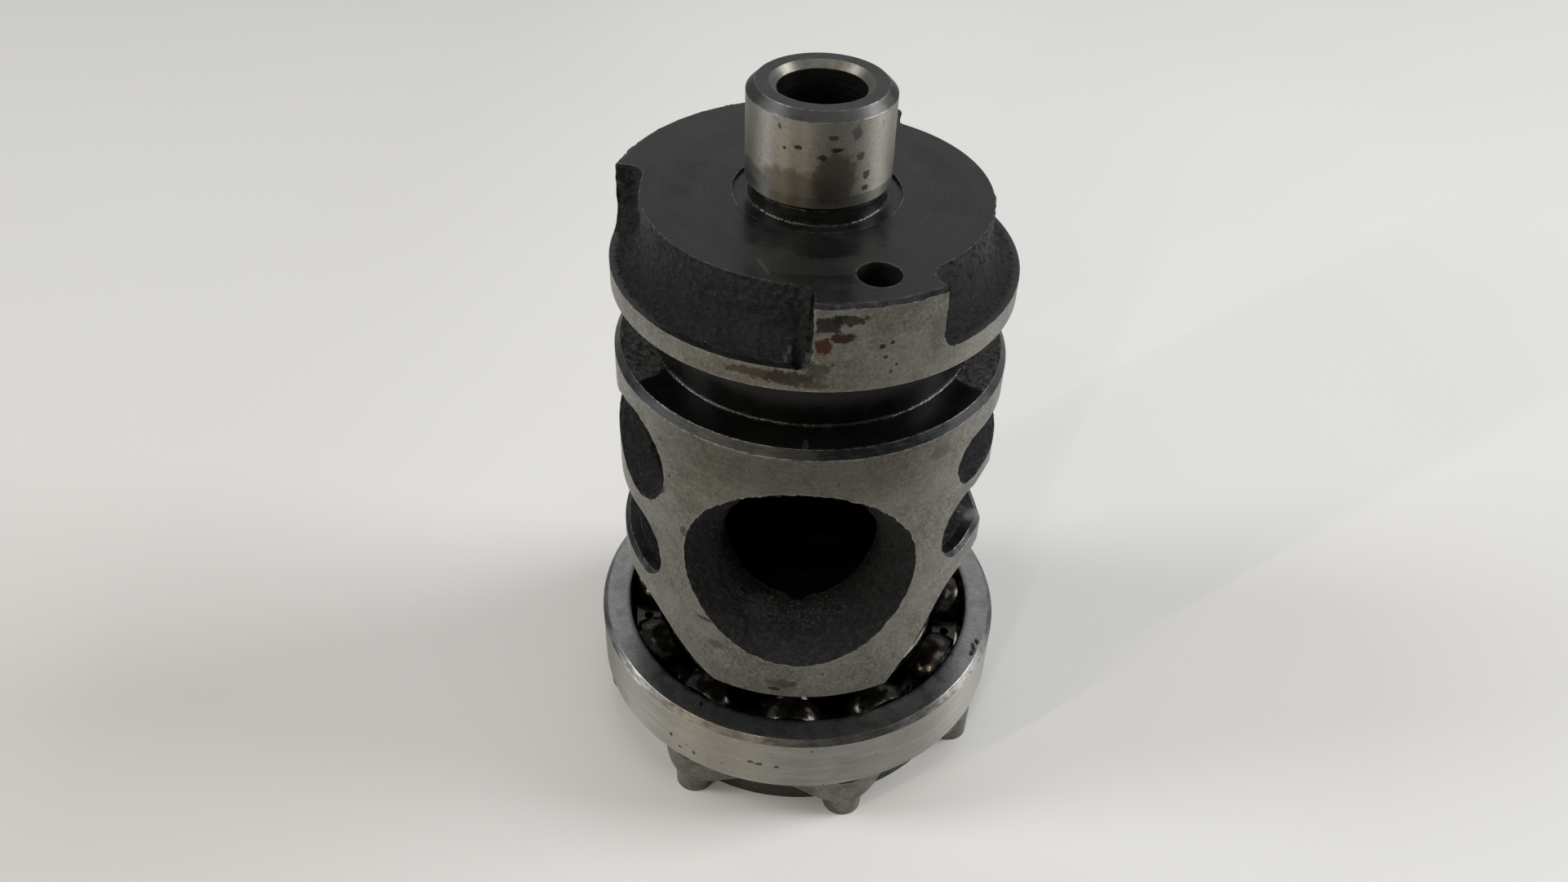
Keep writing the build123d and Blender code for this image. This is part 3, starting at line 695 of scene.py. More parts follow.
def ring_face_steel():
    """The rings' faces and chamfers: finely ground, with an oil film towards the balls and brown wear."""
    f = Finish("ring_face_steel")
    cloud = f.noise(2 * MM, 5.0, 0.65)
    speck = f.noise(0.35 * MM, 4.0, 0.6)
    color = f.ramp(speck, (0.3, (0.24, 0.245, 0.245)), (0.7, (0.35, 0.352, 0.35)))
    color = f.mix(f.range(cloud, 0.45, 0.75, 0.0, 0.5), color, (0.17, 0.17, 0.165))
    ragged = f.times(f.math("SUBTRACT", cloud, 0.5), 1.2 * MM)
    oil = f.fall(f.math("ADD", f.radius(), ragged), 20.2 * MM, 20.9 * MM)
    color = f.cover(color, oil, 0.85, (0.02, 0.019, 0.016))
    # Painted shade on the front of the faces, standing in for the dark drum reflected there.
    front = f.fall(f.back(), -23 * MM, -15 * MM)
    color = f.cover(color, front, 0.55, (0.05, 0.05, 0.047))
    rim = f.range(f.radius(), ring_radius - 0.62 * MM, ring_radius - 0.5 * MM)
    patches = f.noise(0.5 * MM, 4.0, 0.7, stretch=(0.25, 0.25, 1.0))
    worn_rim = f.times(rim, f.range(patches, 0.4, 0.62))
    color = f.cover(color, rim, 0.75, (0.11, 0.108, 0.102))
    color = f.cover(color, worn_rim, 0.8, (0.06, 0.05, 0.04))
    color = f.stained(color, RING_STAINS, 0.6, 0.5 * MM)
    rough = f.math("ADD", f.range(cloud, 0.3, 0.7, 0.22, 0.34), f.times(rim, 0.1))
    normal = f.bump(speck, 0.008 * MM, 0.6)
    return f.done(color, rough, normal, metallic=0.92)


def oily_race():
    """Race grooves and lands under a film of old oil."""
    f = Finish("oily_race")
    cloud = f.noise(1.6 * MM, 5.0, 0.65)
    color = f.mix(f.range(cloud, 0.35, 0.7), (0.015, 0.013, 0.009), (0.085, 0.082, 0.072))
    normal = f.bump(cloud, 0.01 * MM, 0.5)
    return f.done(color, f.range(cloud, 0.3, 0.7, 0.08, 0.22), normal, metallic=0.9)


def ball_steel():
    """Balls: bright but dulled, and filmed with old oil in patches."""
    f = Finish("ball_steel")
    cloud = f.noise(2.2 * MM, 4.0, 0.6)
    color = f.mix(f.range(cloud, 0.52, 0.70), (0.80, 0.805, 0.82), (0.30, 0.285, 0.25))
    haze = f.noise(0.2 * MM, 3.0, 0.6)
    normal = f.bump(haze, 0.002 * MM, 0.4)
    return f.done(color, f.range(cloud, 0.3, 0.7, 0.20, 0.32), normal, metallic=1.0)


def cage_steel():
    """The pressed cage: dark, oily sheet steel with brownish patches."""
    f = Finish("cage_steel")
    cloud = f.noise(1.2 * MM, 5.0, 0.65)
    fine = f.noise(0.25 * MM, 4.0, 0.6)
    color = f.ramp(cloud, (0.34, (0.018, 0.017, 0.015)), (0.55, (0.06, 0.057, 0.05)),
                   (0.74, (0.12, 0.085, 0.045)))
    color = f.worn_edges(color, 0.12, 0.3, (0.26, 0.25, 0.23))
    normal = f.bump(fine, 0.008 * MM, 0.5)
    normal = f.bump(cloud, 0.03 * MM, 0.5, normal)
    return f.done(color, f.range(cloud, 0.3, 0.7, 0.10, 0.26), normal, metallic=0.9)


def star_steel():
    """The star: hardened plate, brownish grey where it is rubbed, and darker on its hub below as painted
    shade under the bearing.
    """
    f = Finish("star_steel")
    cloud = f.noise(2.2 * MM, 5.0, 0.65)
    speck = f.noise(0.4 * MM, 4.0, 0.65)
    color = f.ramp(speck, (0.3, (0.10, 0.096, 0.084)), (0.7, (0.20, 0.193, 0.172)))
    color = f.mix(f.range(cloud, 0.42, 0.7, 0.0, 0.7), color, (0.085, 0.079, 0.068))
    freckles = f.range(f.noise(0.8 * MM, 6.0, 0.75, distortion=0.7), 0.61, 0.7)
    color = f.cover(color, freckles, 0.6, (0.035, 0.03, 0.024))
    # Painted shade on the hub under the bearing ring.
    painted_hub_shade = f.fall(f.radius(), 20.15 * MM, 20.35 * MM)
    color = f.cover(color, painted_hub_shade, 0.75, (0.022, 0.022, 0.021))
    color = f.worn_edges(color, 0.25, 0.4, (0.28, 0.27, 0.24), f.noise(0.7 * MM, 4.0), (0.35, 0.6))
    rough = f.range(cloud, 0.3, 0.7, 0.34, 0.5)
    normal = f.bump(speck, 0.02 * MM, 0.6)
    normal = f.bump(f.rings(0.12 * MM, 0.05), 0.008 * MM, 0.5, normal)
    return f.done(color, rough, normal, metallic=0.85)


def pin_steel():
    """Bolt and dowel: black oxide rubbed bright on its edges, and near black inside the drum as painted
    shade.
    """
    f = Finish("pin_steel")
    cloud = f.noise(1.0 * MM, 5.0, 0.65)
    color = f.mix(f.range(cloud, 0.35, 0.7), (0.006, 0.006, 0.006), (0.022, 0.0215, 0.02))
    color = f.worn_edges(color, 0.2, 0.4, (0.2, 0.2, 0.19))
    # Painted shade: near black inside the drum.
    inside = f.range(f.height(), 9 * MM, 10 * MM)
    color = f.mix(inside, color, (0.0015, 0.0015, 0.0014))
    normal = f.bump(f.noise(0.2 * MM, 3.0), 0.008 * MM, 0.5)
    return f.done(color, f.range(cloud, 0.3, 0.7, 0.3, 0.45), normal, metallic=0.9)


def old_oil():
    """Old oil standing in a corner: black and wet."""
    f = Finish("old_oil")
    cloud = f.noise(1.1 * MM, 4.0, 0.6)
    color = f.mix(f.range(cloud, 0.35, 0.7), (0.004, 0.0035, 0.002), OLD_OIL)
    normal = f.bump(f.noise(0.7 * MM, 4.0, 0.65), 0.12 * MM, 0.9)
    return f.done(color, f.range(cloud, 0.4, 0.6, 0.05, 0.32), normal, metallic=0.0, specular=0.45)


def table_top():
    """The table: pale and slightly mottled, with painted shade darkening it towards the front and the left.
    """
    f = Finish("table_top")
    cloud = f.noise(150 * MM, 3.0, 0.5)
    grain = f.noise(1.2 * MM, 3.0, 0.6)
    color = f.mix(f.range(cloud, 0.3, 0.7), (0.735, 0.73, 0.71), (0.755, 0.755, 0.745))
    # Painted shade in front of the part and to its left.
    near = f.fall(f.back(), -75 * MM, -12 * MM)
    color = f.mix(near, color, (0.60, 0.592, 0.57))
    left = f.fall(f.across(), -90 * MM, -15 * MM)
    color = f.cover(color, left, 0.5, (0.62, 0.612, 0.59))
    normal = f.bump(grain, 0.01 * MM, 0.25)
    return f.done(color, f.range(cloud, 0.3, 0.7, 0.36, 0.40), normal, metallic=0.0, specular=0.3)


# The drum: the CAD node's form, split finely where it was cast, with a gritty skin and ragged edges

GROUND, BLACK, CAST, MILLED, JOURNAL, HOLLOW = range(6)


def drum_zones(points, triangles, normals):
    """Which finish each triangle has, from its place and the way it faces."""
    centre = points[triangles].mean(1)
    facing = unit(normals.mean(1))
    x, y, z = centre.T
    r = np.hypot(x, y)
    outward = (facing[:, 0] * x + facing[:, 1] * y) / np.maximum(r, MM)
    side = np.abs(outward)
    zone = np.full(len(triangles), BLACK)
    under_top_track = z < top_track_wall - 1.3 * MM
    corner_radius = np.hypot(points[triangles][:, :, 0], points[triangles][:, :, 1])
    on_skin = (corner_radius.min(1) > drum_radius - 0.02 * MM) & (outward > 0.9)
    in_tracks = (r > track_floor_radius - 0.05 * MM) & (r < drum_radius) & under_top_track
    on_slope = (outward > 0.3) & (outward < 0.62)
    milled = in_tracks & (r > milled_floor_radius - 0.06 * MM) & ~on_slope
    rim = ((r > drum_radius - 1.2 * MM) & ~under_top_track & (z < flange_foot)
           & (outward > 0.3) & (facing[:, 2] > 0.1))
    scoop = (z > scoop_floor - 0.4 * MM) & (r > 16.5 * MM) & (facing[:, 2] < 0.98)
    funnel = ((y < 0) & (np.hypot(x, z - window_height) < window_radius + 0.2 * MM)
              & (r > cavity_radius + 0.05 * MM) & (r < drum_radius))
    inner_bore = (z > neck_bore_foot) & (r < neck_bore_radius + 0.1 * MM) & (outward < 0.1)
    hollow = (r < cavity_radius + 0.05 * MM) & ((z > ring_top) | inner_bore) & (z < flange_foot)
    azimuth = np.degrees(np.arctan2(x, -y))
    sand = ((np.abs(z - top_track_wall) < 0.1 * MM) & (facing[:, 2] > 0.9) & (r > track_floor_radius)
            & ((azimuth < -59) | (azimuth > 62)))
    journal_end = ((r < journal_radius + 0.05 * MM) & (z > drum_top - 1.4 * MM)
                   & ((facing[:, 2] > 0.3) | (outward < -0.5)))
    zone[in_tracks & (z > tracks_foot)] = CAST
    zone[milled & (z > tracks_foot)] = MILLED
    zone[(facing[:, 2] < -0.5) & (z < underside_top) & (r > neck_radius - 0.1 * MM)] = BLACK
    zone[rim] = MILLED
    zone[scoop] = CAST
    zone[hollow] = HOLLOW
    zone[funnel] = CAST
    zone[sand] = CAST
    zone[on_skin] = GROUND
    zone[(np.abs(r - journal_radius) < 0.06 * MM) & (z > journal_foot) & (side > 0.9)] = JOURNAL
    zone[journal_end] = MILLED
    zone[(r < journal_radius - 2 * MM) & (z > drum_top - 0.7 * MM) & (outward < -0.3)] = JOURNAL
    return zone


def drum_edge_length(points, triangles, zones):
    """How long an edge may be: short on the cast skin, longer elsewhere."""
    length = np.full(len(triangles), PLAIN_LENGTH)
    length[zones == CAST] = CAST_LENGTH
    length[zones == MILLED] = MILLED_LENGTH
    return length


PLAIN_LENGTH, CAST_LENGTH, MILLED_LENGTH = 1.3 * MM, 0.38 * MM, 0.6 * MM


def vertex_mean(values, triangles, count):
    """Averages a value of the triangles at each point."""
    total = np.zeros((count, values.shape[1]))
    shares = np.zeros(count)
    for corner in range(3):
        np.add.at(total, triangles[:, corner], values)
        np.add.at(shares, triangles[:, corner], 1)
    return total / np.maximum(shares, 1)[:, None]


def face_normals(points, triangles):
    a, b, c = (points[triangles[:, corner]] for corner in range(3))
    return unit(np.cross(b - a, c - a))


def deepen_chamfer(points):
    """Draws the journal's end chamfer further down its side."""
    near = np.hypot(points[:, 0], points[:, 1]) > journal_radius - CHAMFER_WIDTH - 0.02 * MM
    levels = drum_top - np.array([CHAMFER_REACH, CHAMFER_HEIGHT, 0])
    new_levels = drum_top - np.array([CHAMFER_REACH, WORN_CHAMFER_HEIGHT, 0])
    moved = near & (points[:, 2] > levels[0])
    points[moved, 2] = np.interp(points[moved, 2], levels, new_levels)


CHAMFER_WIDTH, CHAMFER_HEIGHT = 0.8 * MM, 0.52 * MM
WORN_CHAMFER_HEIGHT, CHAMFER_REACH = 0.8 * MM, 2.4 * MM


def open_funnel(points):
    """Straightens the window's stepped wall into one cast funnel, with a rounded throat."""
    x, depth, up = points[:, 0], -points[:, 1], points[:, 2] - window_height
    reach, turn = np.hypot(x, up), np.arctan2(up, x)
    rim = np.full(len(points), LIP_RADIUS)
    rim_depth = np.full(len(points), drum_radius)
    for _ in range(4):
        rim_depth = np.sqrt(drum_radius ** 2 - (rim * np.cos(turn)) ** 2)
        rim = LIP_RADIUS + LIP_DRAFT * (rim_depth - LIP_DEPTH)
    lip_reach = LIP_RADIUS + LIP_DRAFT * np.maximum(depth - LIP_DEPTH, 0)
    on_lip = (depth > LIP_DEPTH) & (np.abs(reach - lip_reach) < 0.05 * MM)
    ledge_share = (reach - window_throat_radius) / (LIP_RADIUS - window_throat_radius)
    ledge_depth = window_throat_depth + ledge_share * (LIP_DEPTH - window_throat_depth)
    on_ledge = ((reach > window_throat_radius - 0.05 * MM) & (reach < LIP_RADIUS + 0.02 * MM)
                & (np.abs(depth - ledge_depth) < 0.05 * MM))
    in_throat = ((np.abs(reach - window_throat_radius) < 0.05 * MM) & (depth < window_throat_depth)
                 & (depth > 0) & ~on_ledge)
    ledge_length = np.hypot(LIP_RADIUS - window_throat_radius, LIP_DEPTH - window_throat_depth)
    length = np.where(on_lip, ledge_length + depth - LIP_DEPTH, ledge_share * ledge_length)
    share = np.clip(length / (ledge_length + rim_depth - LIP_DEPTH), 0, 1)
    slope = (rim - window_throat_radius) / (rim_depth - window_throat_depth)
    new_depth = np.where(in_throat, depth, window_throat_depth + share * (rim_depth - window_throat_depth))
    past = (new_depth - window_throat_depth) * slope
    rounded = (np.sqrt(past ** 2 + THROAT_ROUND ** 2) + past) / 2
    fade = np.where(in_throat, 1, (1 - share) ** 2)
    new_reach = window_throat_radius + np.maximum(past, 0) * (1 - fade) + rounded * fade
    moved = on_lip | on_ledge | in_throat
    points[moved, 0] = (new_reach * np.cos(turn))[moved]
    points[moved, 1] = -new_depth[moved]
    points[moved, 2] = window_height + (new_reach * np.sin(turn))[moved]


# The stepped wall of the window in the CAD node, and the rounding of its throat here
LIP_RADIUS, LIP_DEPTH, LIP_DRAFT = 11.8 * MM, 15.195 * MM, 0.4 / 7.005
THROAT_ROUND = 0.9 * MM


def sharpen_scoop(points):
    """Fills out the rounding where the left scoop ends beside the lug."""
    a = radians(left_scoop_end)
    along = np.array([cos(a), sin(a), 0])
    r = np.hypot(points[:, 0], points[:, 1])
    u = -points @ along
    centre = np.array([scoop_wall_radius + SCOOP_FILLET, scoop_floor + SCOOP_FILLET])
    out, up = centre[0] - r, centre[1] - points[:, 2]
    low = up > 0
    v = np.where(low, SCOOP_FILLET - np.hypot(out, up), r - scoop_wall_radius)
    normal = np.where(low[:, None], unit(np.stack([out, up], axis=1)), np.array([1.0, 0.0]))
    gap_u, gap_v = SCOOP_ROUND - u, SCOOP_ROUND - v
    moved = ((np.abs(np.hypot(gap_u, gap_v) - SCOOP_ROUND) < 0.06 * MM) & (gap_u > 0) & (gap_v > 0)
             & (r > scoop_wall_radius - 0.1 * MM) & (points[:, 2] < flange_top + 0.1 * MM)
             & (points[:, 2] > scoop_floor - 0.1 * MM) & (-points[:, 1] > 0) & (np.abs(u) < SCOOP_ROUND))
    grow = (np.maximum(gap_u, gap_v) / SCOOP_ROUND) ** -SCOOP_SHARPNESS - 1
    outward = points[:, :2] / r[:, None]
    step = along * (gap_u * grow)[:, None]
    step[:, :2] -= outward * (normal[:, 0] * gap_v * grow)[:, None]
    step[:, 2] -= normal[:, 1] * gap_v * grow
    rim = r > drum_radius - 0.02 * MM
    points[moved] += step[moved]
    back = np.hypot(points[rim, 0], points[rim, 1])
    points[rim, :2] *= (r[rim] / back)[:, None]


SCOOP_FILLET, SCOOP_ROUND, SCOOP_SHARPNESS = 3.2 * MM, 2.0 * MM, 0.8
# A pit that roughen breaks into that corner
PIT = on_drum(-3.1, 62.5 * MM, 19.3 * MM)
PIT_SIZE = np.array([0.75, 1.6, 1.9]) * MM
PIT_DEPTH = 0.85 * MM


def roughen(points, triangles, zones):
    """Wears the turned forms, roughens the cast skin and lets it eat raggedly into the ground skin."""
    points = points.copy()
    deepen_chamfer(points)
    open_funnel(points)
    sharpen_scoop(points)
    facing = face_normals(points, triangles)
    cast = zones == CAST
    on_cast, on_other, on_ground = (np.zeros(len(points), bool) for _ in range(3))
    on_cast[triangles[cast].ravel()] = True
    on_other[triangles[~cast].ravel()] = True
    on_ground[triangles[zones == GROUND].ravel()] = True
    lift_way = unit(vertex_mean(facing * cast[:, None], triangles, len(points)))
    inner = np.flatnonzero(on_cast & ~on_other)
    border = np.flatnonzero(on_cast & on_ground)
    grit = soft_noise(points[inner], 0.62 * MM, 3.1) + 0.6 * soft_noise(points[inner], 0.3 * MM, 7.7)
    swell = soft_noise(points[inner] * np.array([1, 1, 0.55]), 1.7 * MM, 1.3)
    pit = np.clip(1 - np.linalg.norm((points[inner] - np.array(PIT)) / PIT_SIZE, axis=1), 0, 1) ** 0.6
    lift = grit * CAST_GRIT + swell * CAST_SWELL - pit * PIT_DEPTH * (1 + 0.4 * grit)
    points[inner] += lift_way[inner] * lift[:, None]
    outward = unit(points[border] * np.array([1, 1, 0]))
    along = lift_way[border]
    along = unit(along - outward * (along * outward).sum(1, keepdims=True))
    ragged = soft_noise(points[border], 0.9 * MM, 5.5) + 0.7 * soft_noise(points[border], 0.25 * MM, 9.1)
    radius = np.hypot(points[border][:, 0], points[border][:, 1])
    points[border] += along * (ragged * EDGE_RAGGED)[:, None]
    new_radius = np.hypot(points[border][:, 0], points[border][:, 1])
    points[border, :2] *= (radius / new_radius)[:, None]
    return points


CAST_GRIT = 0.15 * MM
CAST_SWELL = 0.15 * MM
EDGE_RAGGED = 0.17 * MM


def dress(name, nodes, body, finishes, zone_rule, edge_length, passes=5, shape=None):
    """A refined copy of a CAD node: split where it needs it, zoned, and with its edges known."""
    points, triangles, normals = read_node(nodes[0])
    tree = sharp_edges(points, triangles, normals)

    def target(points, triangles, zones):
        length = edge_length(points, triangles, zones)
        close = distance_to(tree, points)[triangles].min(1) < 0.45 * MM
        return np.where(close, np.minimum(length, NEAR_EDGE_LENGTH), length)

    zones = zone_rule(points, triangles, normals)
    points, triangles, normals, zones = split(points, triangles, normals, zones, target, passes)
    distance = distance_to(tree, points)
    if shape:
        points = shape(points, triangles, zones)
    piece = build(name, points, triangles, zones, finishes)
    add_value(piece, "edge", distance / MM)
    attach(piece, body)
    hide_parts(*nodes)
    return piece


NEAR_EDGE_LENGTH = 0.4 * MM


def drum():
    finishes = [ground_steel(), machined_black(), rough_cast(),
                milled_steel(), journal_steel(), hollow_black()]
    return dress("drum_casting", ["drum_body"], "drum", finishes,
                 drum_zones, drum_edge_length, 6, roughen)


def standing_oil():
    """Old oil in the corners at the journal's foot and at the foot of the top track's wall."""
    oil = old_oil()
    meniscus("oil_at_journal", journal_radius - 0.45 * MM, flange_top - 0.3 * MM, 0.3 * MM, (-180, 180), oil)
    meniscus("oil_in_top_track", track_floor_radius, top_track_wall, 0.3 * MM, (-84, 84), oil)


def meniscus(name, radius, height, size, span, material):
    """A hollow-faced bead of oil in the corner between an upright wall and the floor round it."""
    steps = int((span[1] - span[0]) / 1.5)
    closed = span[1] - span[0] >= 360
    rows = steps if closed else steps + 1
    arc = np.linspace(0, pi / 2, 8)
    points = []
    for i in range(rows):
        azimuth = span[0] + (span[1] - span[0]) * i / steps
        taper = 1 if closed else min(1, 0.15 + min(i, steps - i) / 9)
        width = size * taper * (1 + 0.12 * sin(azimuth * 0.31) + 0.08 * sin(azimuth * 0.83 + 1))
        section = [(radius - 0.04 * MM, height - 0.04 * MM)]
        section += [(radius + width * (1 - sin(t)), height + width * (1 - cos(t))) for t in arc]
        points += [on_drum(azimuth, z, r) for r, z in section]
    count = len(arc) + 1
    faces = []
    for i in range(steps):
        a, b = i * count, (i + 1) % rows * count
        faces += [(a + k, a + (k + 1) % count, b + (k + 1) % count, b + k) for k in range(count)]
    if not closed:
        faces += [tuple(range(count))[::-1], tuple(range((rows - 1) * count, rows * count))]
    mesh = bpy.data.meshes.new(name)
    mesh.from_pydata(points, [], faces)
    mesh.materials.append(material)
    outward = bmesh.new()
    outward.from_mesh(mesh)
    bmesh.ops.recalc_face_normals(outward, faces=outward.faces)
    outward.to_mesh(mesh)
    outward.free()
    mesh.polygons.foreach_set("use_smooth", np.ones(len(mesh.polygons), bool))
    mesh.set_sharp_from_angle(angle=radians(50))
    bead = bpy.data.objects.new(name, mesh)
    bpy.context.scene.collection.objects.link(bead)
    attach(bead, "drum")


# The bearing: rings with ground outsides and oily races, a cage, rivets and balls

OUTSIDE, FACE, RACE = range(3)


def outward_share(points, triangles, normals):
    """How far each triangle faces away from the axis, from -1 to 1."""
    centre, facing = points[triangles].mean(1), unit(normals.mean(1))
    r = np.hypot(centre[:, 0], centre[:, 1])
    return (facing[:, 0] * centre[:, 0] + facing[:, 1] * centre[:, 1]) / r


def outer_ring_zones(points, triangles, normals):
    outward = outward_share(points, triangles, normals)
    zone = np.full(len(triangles), FACE)
    zone[outward < -0.3] = RACE
    zone[outward > 0.9] = OUTSIDE
    return zone


def inner_ring_zones(points, triangles, normals):
    outward = outward_share(points, triangles, normals)
    zone = np.full(len(triangles), FACE)
    zone[outward > 0.3] = RACE
    return zone


def one_zone(points, triangles, normals):
    return np.zeros(len(triangles), int)


def even_length(length):
    return lambda points, triangles, zones: np.full(len(triangles), length)


def bearing():
    outside, face, race = bearing_steel(), ring_face_steel(), oily_race()
    cage = cage_steel()
    dress("ring_outer", ["bearing_outer_ring"], "outer_ring", [outside, face, race],
          outer_ring_zones, even_length(1.6 * MM))
    dress("ring_inner", ["bearing_inner_ring"], "drum", [outside, face, race],
          inner_ring_zones, even_length(1.6 * MM))
    for half in ("cage_upper", "cage_lower"):
        dress(half + "_ribbon", [half], "cage", [cage], one_zone, even_length(2.0 * MM), 2)
    rivets(cage)
    polished = ball_steel()
    for node in (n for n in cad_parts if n.startswith("ball_")):
        show_node(node, polished)


# Rivet sizes in metres: heads, shank, and how far the heads' seats lie from the middle of the bearing.
# Known fault: the tree's circle starts at +X and azimuths count from the front, so with this phase the rivets
# stand 8.18 degrees round from their holes.
RIVET_SIZES = {
    "Head radius": 1.0 * MM, "Crown radius": 0.6 * MM, "Head edge": 0.1 * MM, "Crown height": 0.32 * MM,
    "Shank radius": 0.55 * MM, "Seat": 0.5 * MM, "Pitch radius": ball_pitch_radius, "Height": bearing_middle,
    "Phase": radians(ball_phase + 180 / ball_count),
}
RIVET_FACETS = 28


def rivet_tree(material):
    """A node tree that makes one rivet with two domed heads and repeats it round the pitch circle."""
    tree = bpy.data.node_groups.new("cage_rivets", "GeometryNodeTree")
    tree.interface.new_socket("Geometry", in_out="INPUT", socket_type="NodeSocketGeometry")
    tree.interface.new_socket("Geometry", in_out="OUTPUT", socket_type="NodeSocketGeometry")
    for name in RIVET_SIZES:
        tree.interface.new_socket(name, in_out="INPUT", socket_type="NodeSocketFloat")
    tree.interface.new_socket("Count", in_out="INPUT", socket_type="NodeSocketInt")
    given = tree.nodes.new("NodeGroupInput").outputs

    def node(kind, *links, **settings):
        made = tree.nodes.new("GeometryNode" + kind)
        for key, value in settings.items():
            setattr(made, key, value)
        for socket, value in links:
            if isinstance(value, bpy.types.NodeSocket):
                tree.links.new(value, made.inputs[socket])
            else:
                made.inputs[socket].default_value = value
        return made

    def vector(x=None, y=None, z=None):
        made = tree.nodes.new("ShaderNodeCombineXYZ")
        for socket, value in zip(made.inputs, (x, y, z)):
            if value is not None:
                tree.links.new(value, socket)
        return made.outputs[0]

    def half(value):
        made = tree.nodes.new("ShaderNodeMath")
        made.operation = "MULTIPLY"
        tree.links.new(value, made.inputs[0])
        made.inputs[1].default_value = 0.5
        return made.outputs[0]

    edge = node("MeshCone", ("Vertices", RIVET_FACETS), ("Radius Top", given["Head radius"]),
                ("Radius Bottom", given["Head radius"]), ("Depth", given["Head edge"]))
    crown = node("MeshCone", ("Vertices", RIVET_FACETS), ("Radius Top", given["Crown radius"]),
                 ("Radius Bottom", given["Head radius"]), ("Depth", given["Crown height"]))
    raised = node("Transform", ("Geometry", crown.outputs["Mesh"]),
                  ("Translation", vector(z=given["Head edge"])))
    shank = node("MeshCone", ("Vertices", RIVET_FACETS), ("Radius Top", given["Shank radius"]),
                 ("Radius Bottom", given["Shank radius"]), ("Depth", given["Seat"]))
    head = node("JoinGeometry")
    for part in (edge.outputs["Mesh"], raised.outputs["Geometry"]):
        tree.links.new(part, head.inputs["Geometry"])
    seated = node("Transform", ("Geometry", head.outputs["Geometry"]),
                  ("Translation", vector(z=given["Seat"])))
    upper = node("JoinGeometry")
    for part in (seated.outputs["Geometry"], shank.outputs["Mesh"]):
        tree.links.new(part, upper.inputs["Geometry"])
    lower = node("Transform", ("Geometry", upper.outputs["Geometry"]), ("Rotation", (pi, 0, 0)))
    whole = node("JoinGeometry")
    for part in (upper.outputs["Geometry"], lower.outputs["Geometry"]):
        tree.links.new(part, whole.inputs["Geometry"])
    circle = node("MeshCircle", ("Vertices", given["Count"]), ("Radius", given["Pitch radius"]))
    turned = node("Transform", ("Geometry", circle.outputs["Mesh"]), ("Rotation", vector(z=given["Phase"])),
                  ("Translation", vector(z=given["Height"])))
    placed = node("InstanceOnPoints", ("Points", turned.outputs["Geometry"]),
                  ("Instance", whole.outputs["Geometry"]))
    real = node("RealizeInstances", ("Geometry", placed.outputs["Instances"]))
    dressed = node("SetMaterial", ("Geometry", real.outputs["Geometry"]), ("Material", material))
    tree.links.new(dressed.outputs["Geometry"], tree.nodes.new("NodeGroupOutput").inputs[0])
    return tree


def rivets(material):
    """The cage's eleven rivets: the node tree's result as one plain mesh."""
    maker = bpy.data.objects.new("rivet_maker", bpy.data.meshes.new("rivet_maker"))
    bpy.context.scene.collection.objects.link(maker)
    modifier = maker.modifiers.new("rivets", "NODES")
    modifier.node_group = rivet_tree(material)
    for socket in modifier.node_group.interface.items_tree:
        if socket.in_out == "INPUT" and socket.name in RIVET_SIZES:
            modifier[socket.identifier] = float(RIVET_SIZES[socket.name])
        elif socket.in_out == "INPUT" and socket.name == "Count":
            modifier[socket.identifier] = ball_count
    mesh = bpy.data.meshes.new_from_object(maker.evaluated_get(bpy.context.evaluated_depsgraph_get()))
    maker.modifiers.remove(modifier)
    bpy.data.objects.remove(maker)
    mesh.set_sharp_from_angle(angle=radians(24))
    piece = bpy.data.objects.new("cage_rivet_heads", mesh)
    bpy.context.scene.collection.objects.link(piece)
    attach(piece, "cage")
    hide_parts("cage_rivets")


def show_node(node, material):
    """Gives a CAD node that keeps its own mesh a finish."""
    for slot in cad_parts[node].material_slots:
        slot.material = material


def star():
    dress("detent_star_plate", ["detent_star"], "drum", [star_steel()], one_zone,
          even_length(1.2 * MM))


def fasteners():
    pin = pin_steel()
    dress("star_screw", ["star_bolt"], "drum", [pin], one_zone, even_length(0.8 * MM))
    dress("locating_dowel", ["dowel_pin"], "drum", [pin], one_zone, even_length(0.8 * MM))


# The camera, where the photograph was taken from

CAMERA_PLACE = Vector((0, -114.086 * MM, 130.887 * MM))
CAMERA_YAW, CAMERA_PITCH, CAMERA_ROLL = -0.0204762, 0.6878327, 0.0357223
CAMERA_LENS = 30.64


def add_camera():
    data = bpy.data.cameras.new("camera")
    camera = bpy.data.objects.new("camera", data)
    bpy.context.scene.collection.objects.link(camera)
    data.lens = CAMERA_LENS
    data.sensor_width = 36
    data.clip_start = 5 * MM
    data.clip_end = 20
    ahead = cos(CAMERA_PITCH)
    forward = Vector((sin(CAMERA_YAW) * ahead, cos(CAMERA_YAW) * ahead, -sin(CAMERA_PITCH)))
    level = Vector((cos(CAMERA_YAW), -sin(CAMERA_YAW), 0))
    upright = level.cross(forward)
    right = level * cos(CAMERA_ROLL) + upright * sin(CAMERA_ROLL)
    up = upright * cos(CAMERA_ROLL) - level * sin(CAMERA_ROLL)
    turn = Matrix((right, up, -forward)).transposed()
    camera.matrix_world = Matrix.Translation(CAMERA_PLACE) @ turn.to_4x4()
    bpy.context.scene.camera = camera


# Light: a tall window on the left, a broad soft light on the right, two slim warm lamps in front on the left,
# and faint light from above and from the wall behind

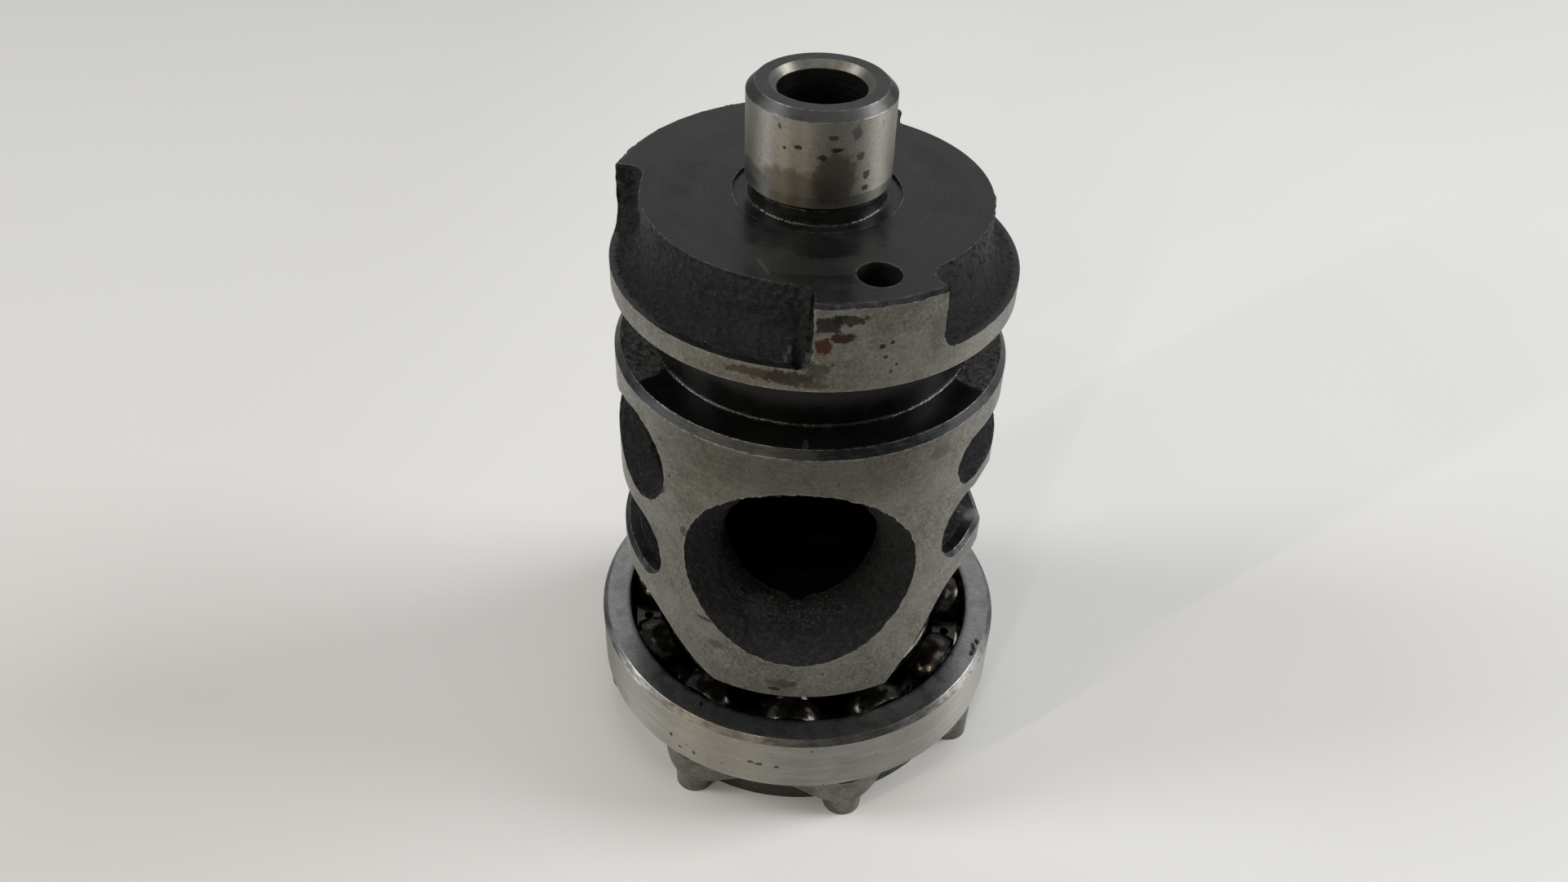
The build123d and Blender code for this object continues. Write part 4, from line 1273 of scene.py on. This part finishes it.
def area_light(name, azimuth, elevation, distance, width, height, watts, aim_height=45 * MM, color=(1, 1, 1)):
    data = bpy.data.lights.new(name, "AREA")
    data.shape = "RECTANGLE"
    data.size, data.size_y = width, height
    data.energy = watts
    data.color = color
    lamp = bpy.data.objects.new(name, data)
    bpy.context.scene.collection.objects.link(lamp)
    a, e = radians(azimuth), radians(elevation)
    target = Vector((0, 0, aim_height))
    place = target + distance * Vector((sin(a) * cos(e), -cos(a) * cos(e), sin(e)))
    lamp.location = place
    lamp.rotation_euler = (target - place).to_track_quat("-Z", "Y").to_euler()
    return lamp


def add_lights():
    area_light("window_left", -85, 30, 0.9, 0.25, 0.7, 4.1, color=(0.97, 0.99, 1.0))
    area_light("soft_right", 98, 28, 0.9, 0.4, 0.6, 6.2)
    area_light("slim_lamp", -21, 26, 0.9, 0.015, 0.4, 1.1, color=(1.0, 0.86, 0.66))
    area_light("warm_lamp", -52, 22, 0.9, 0.012, 0.3, 1.4, color=(1.0, 0.84, 0.62))
    area_light("top", 60, 80, 0.9, 0.5, 0.5, 1.2)
    area_light("back_wall", 180, 38, 1.3, 1.5, 0.7, 1.6)
    world = bpy.data.worlds.new("studio")
    bpy.context.scene.world = world
    world.use_nodes = True
    background = world.node_tree.nodes["Background"]
    background.inputs["Color"].default_value = (0.95, 0.98, 1.0, 1)
    background.inputs["Strength"].default_value = 0.2


def add_table():
    """A pale sheet under the part, large enough to fill the view."""
    half, cells = 0.7, 24
    rows = np.linspace(-half, half, cells + 1)
    points = [(x, y, 0) for y in rows for x in rows]
    row = cells + 1
    corners = (i + j * row for j in range(cells) for i in range(cells))
    faces = [(first, first + 1, first + 1 + row, first + row) for first in corners]
    mesh = bpy.data.meshes.new("table")
    mesh.from_pydata(points, [], faces)
    mesh.materials.append(table_top())
    table = bpy.data.objects.new("table", mesh)
    bpy.context.scene.collection.objects.link(table)


drum()
bearing()
standing_oil()
star()
fasteners()
add_camera()
add_lights()
add_table()
bpy.context.scene.view_settings.view_transform = "Standard"
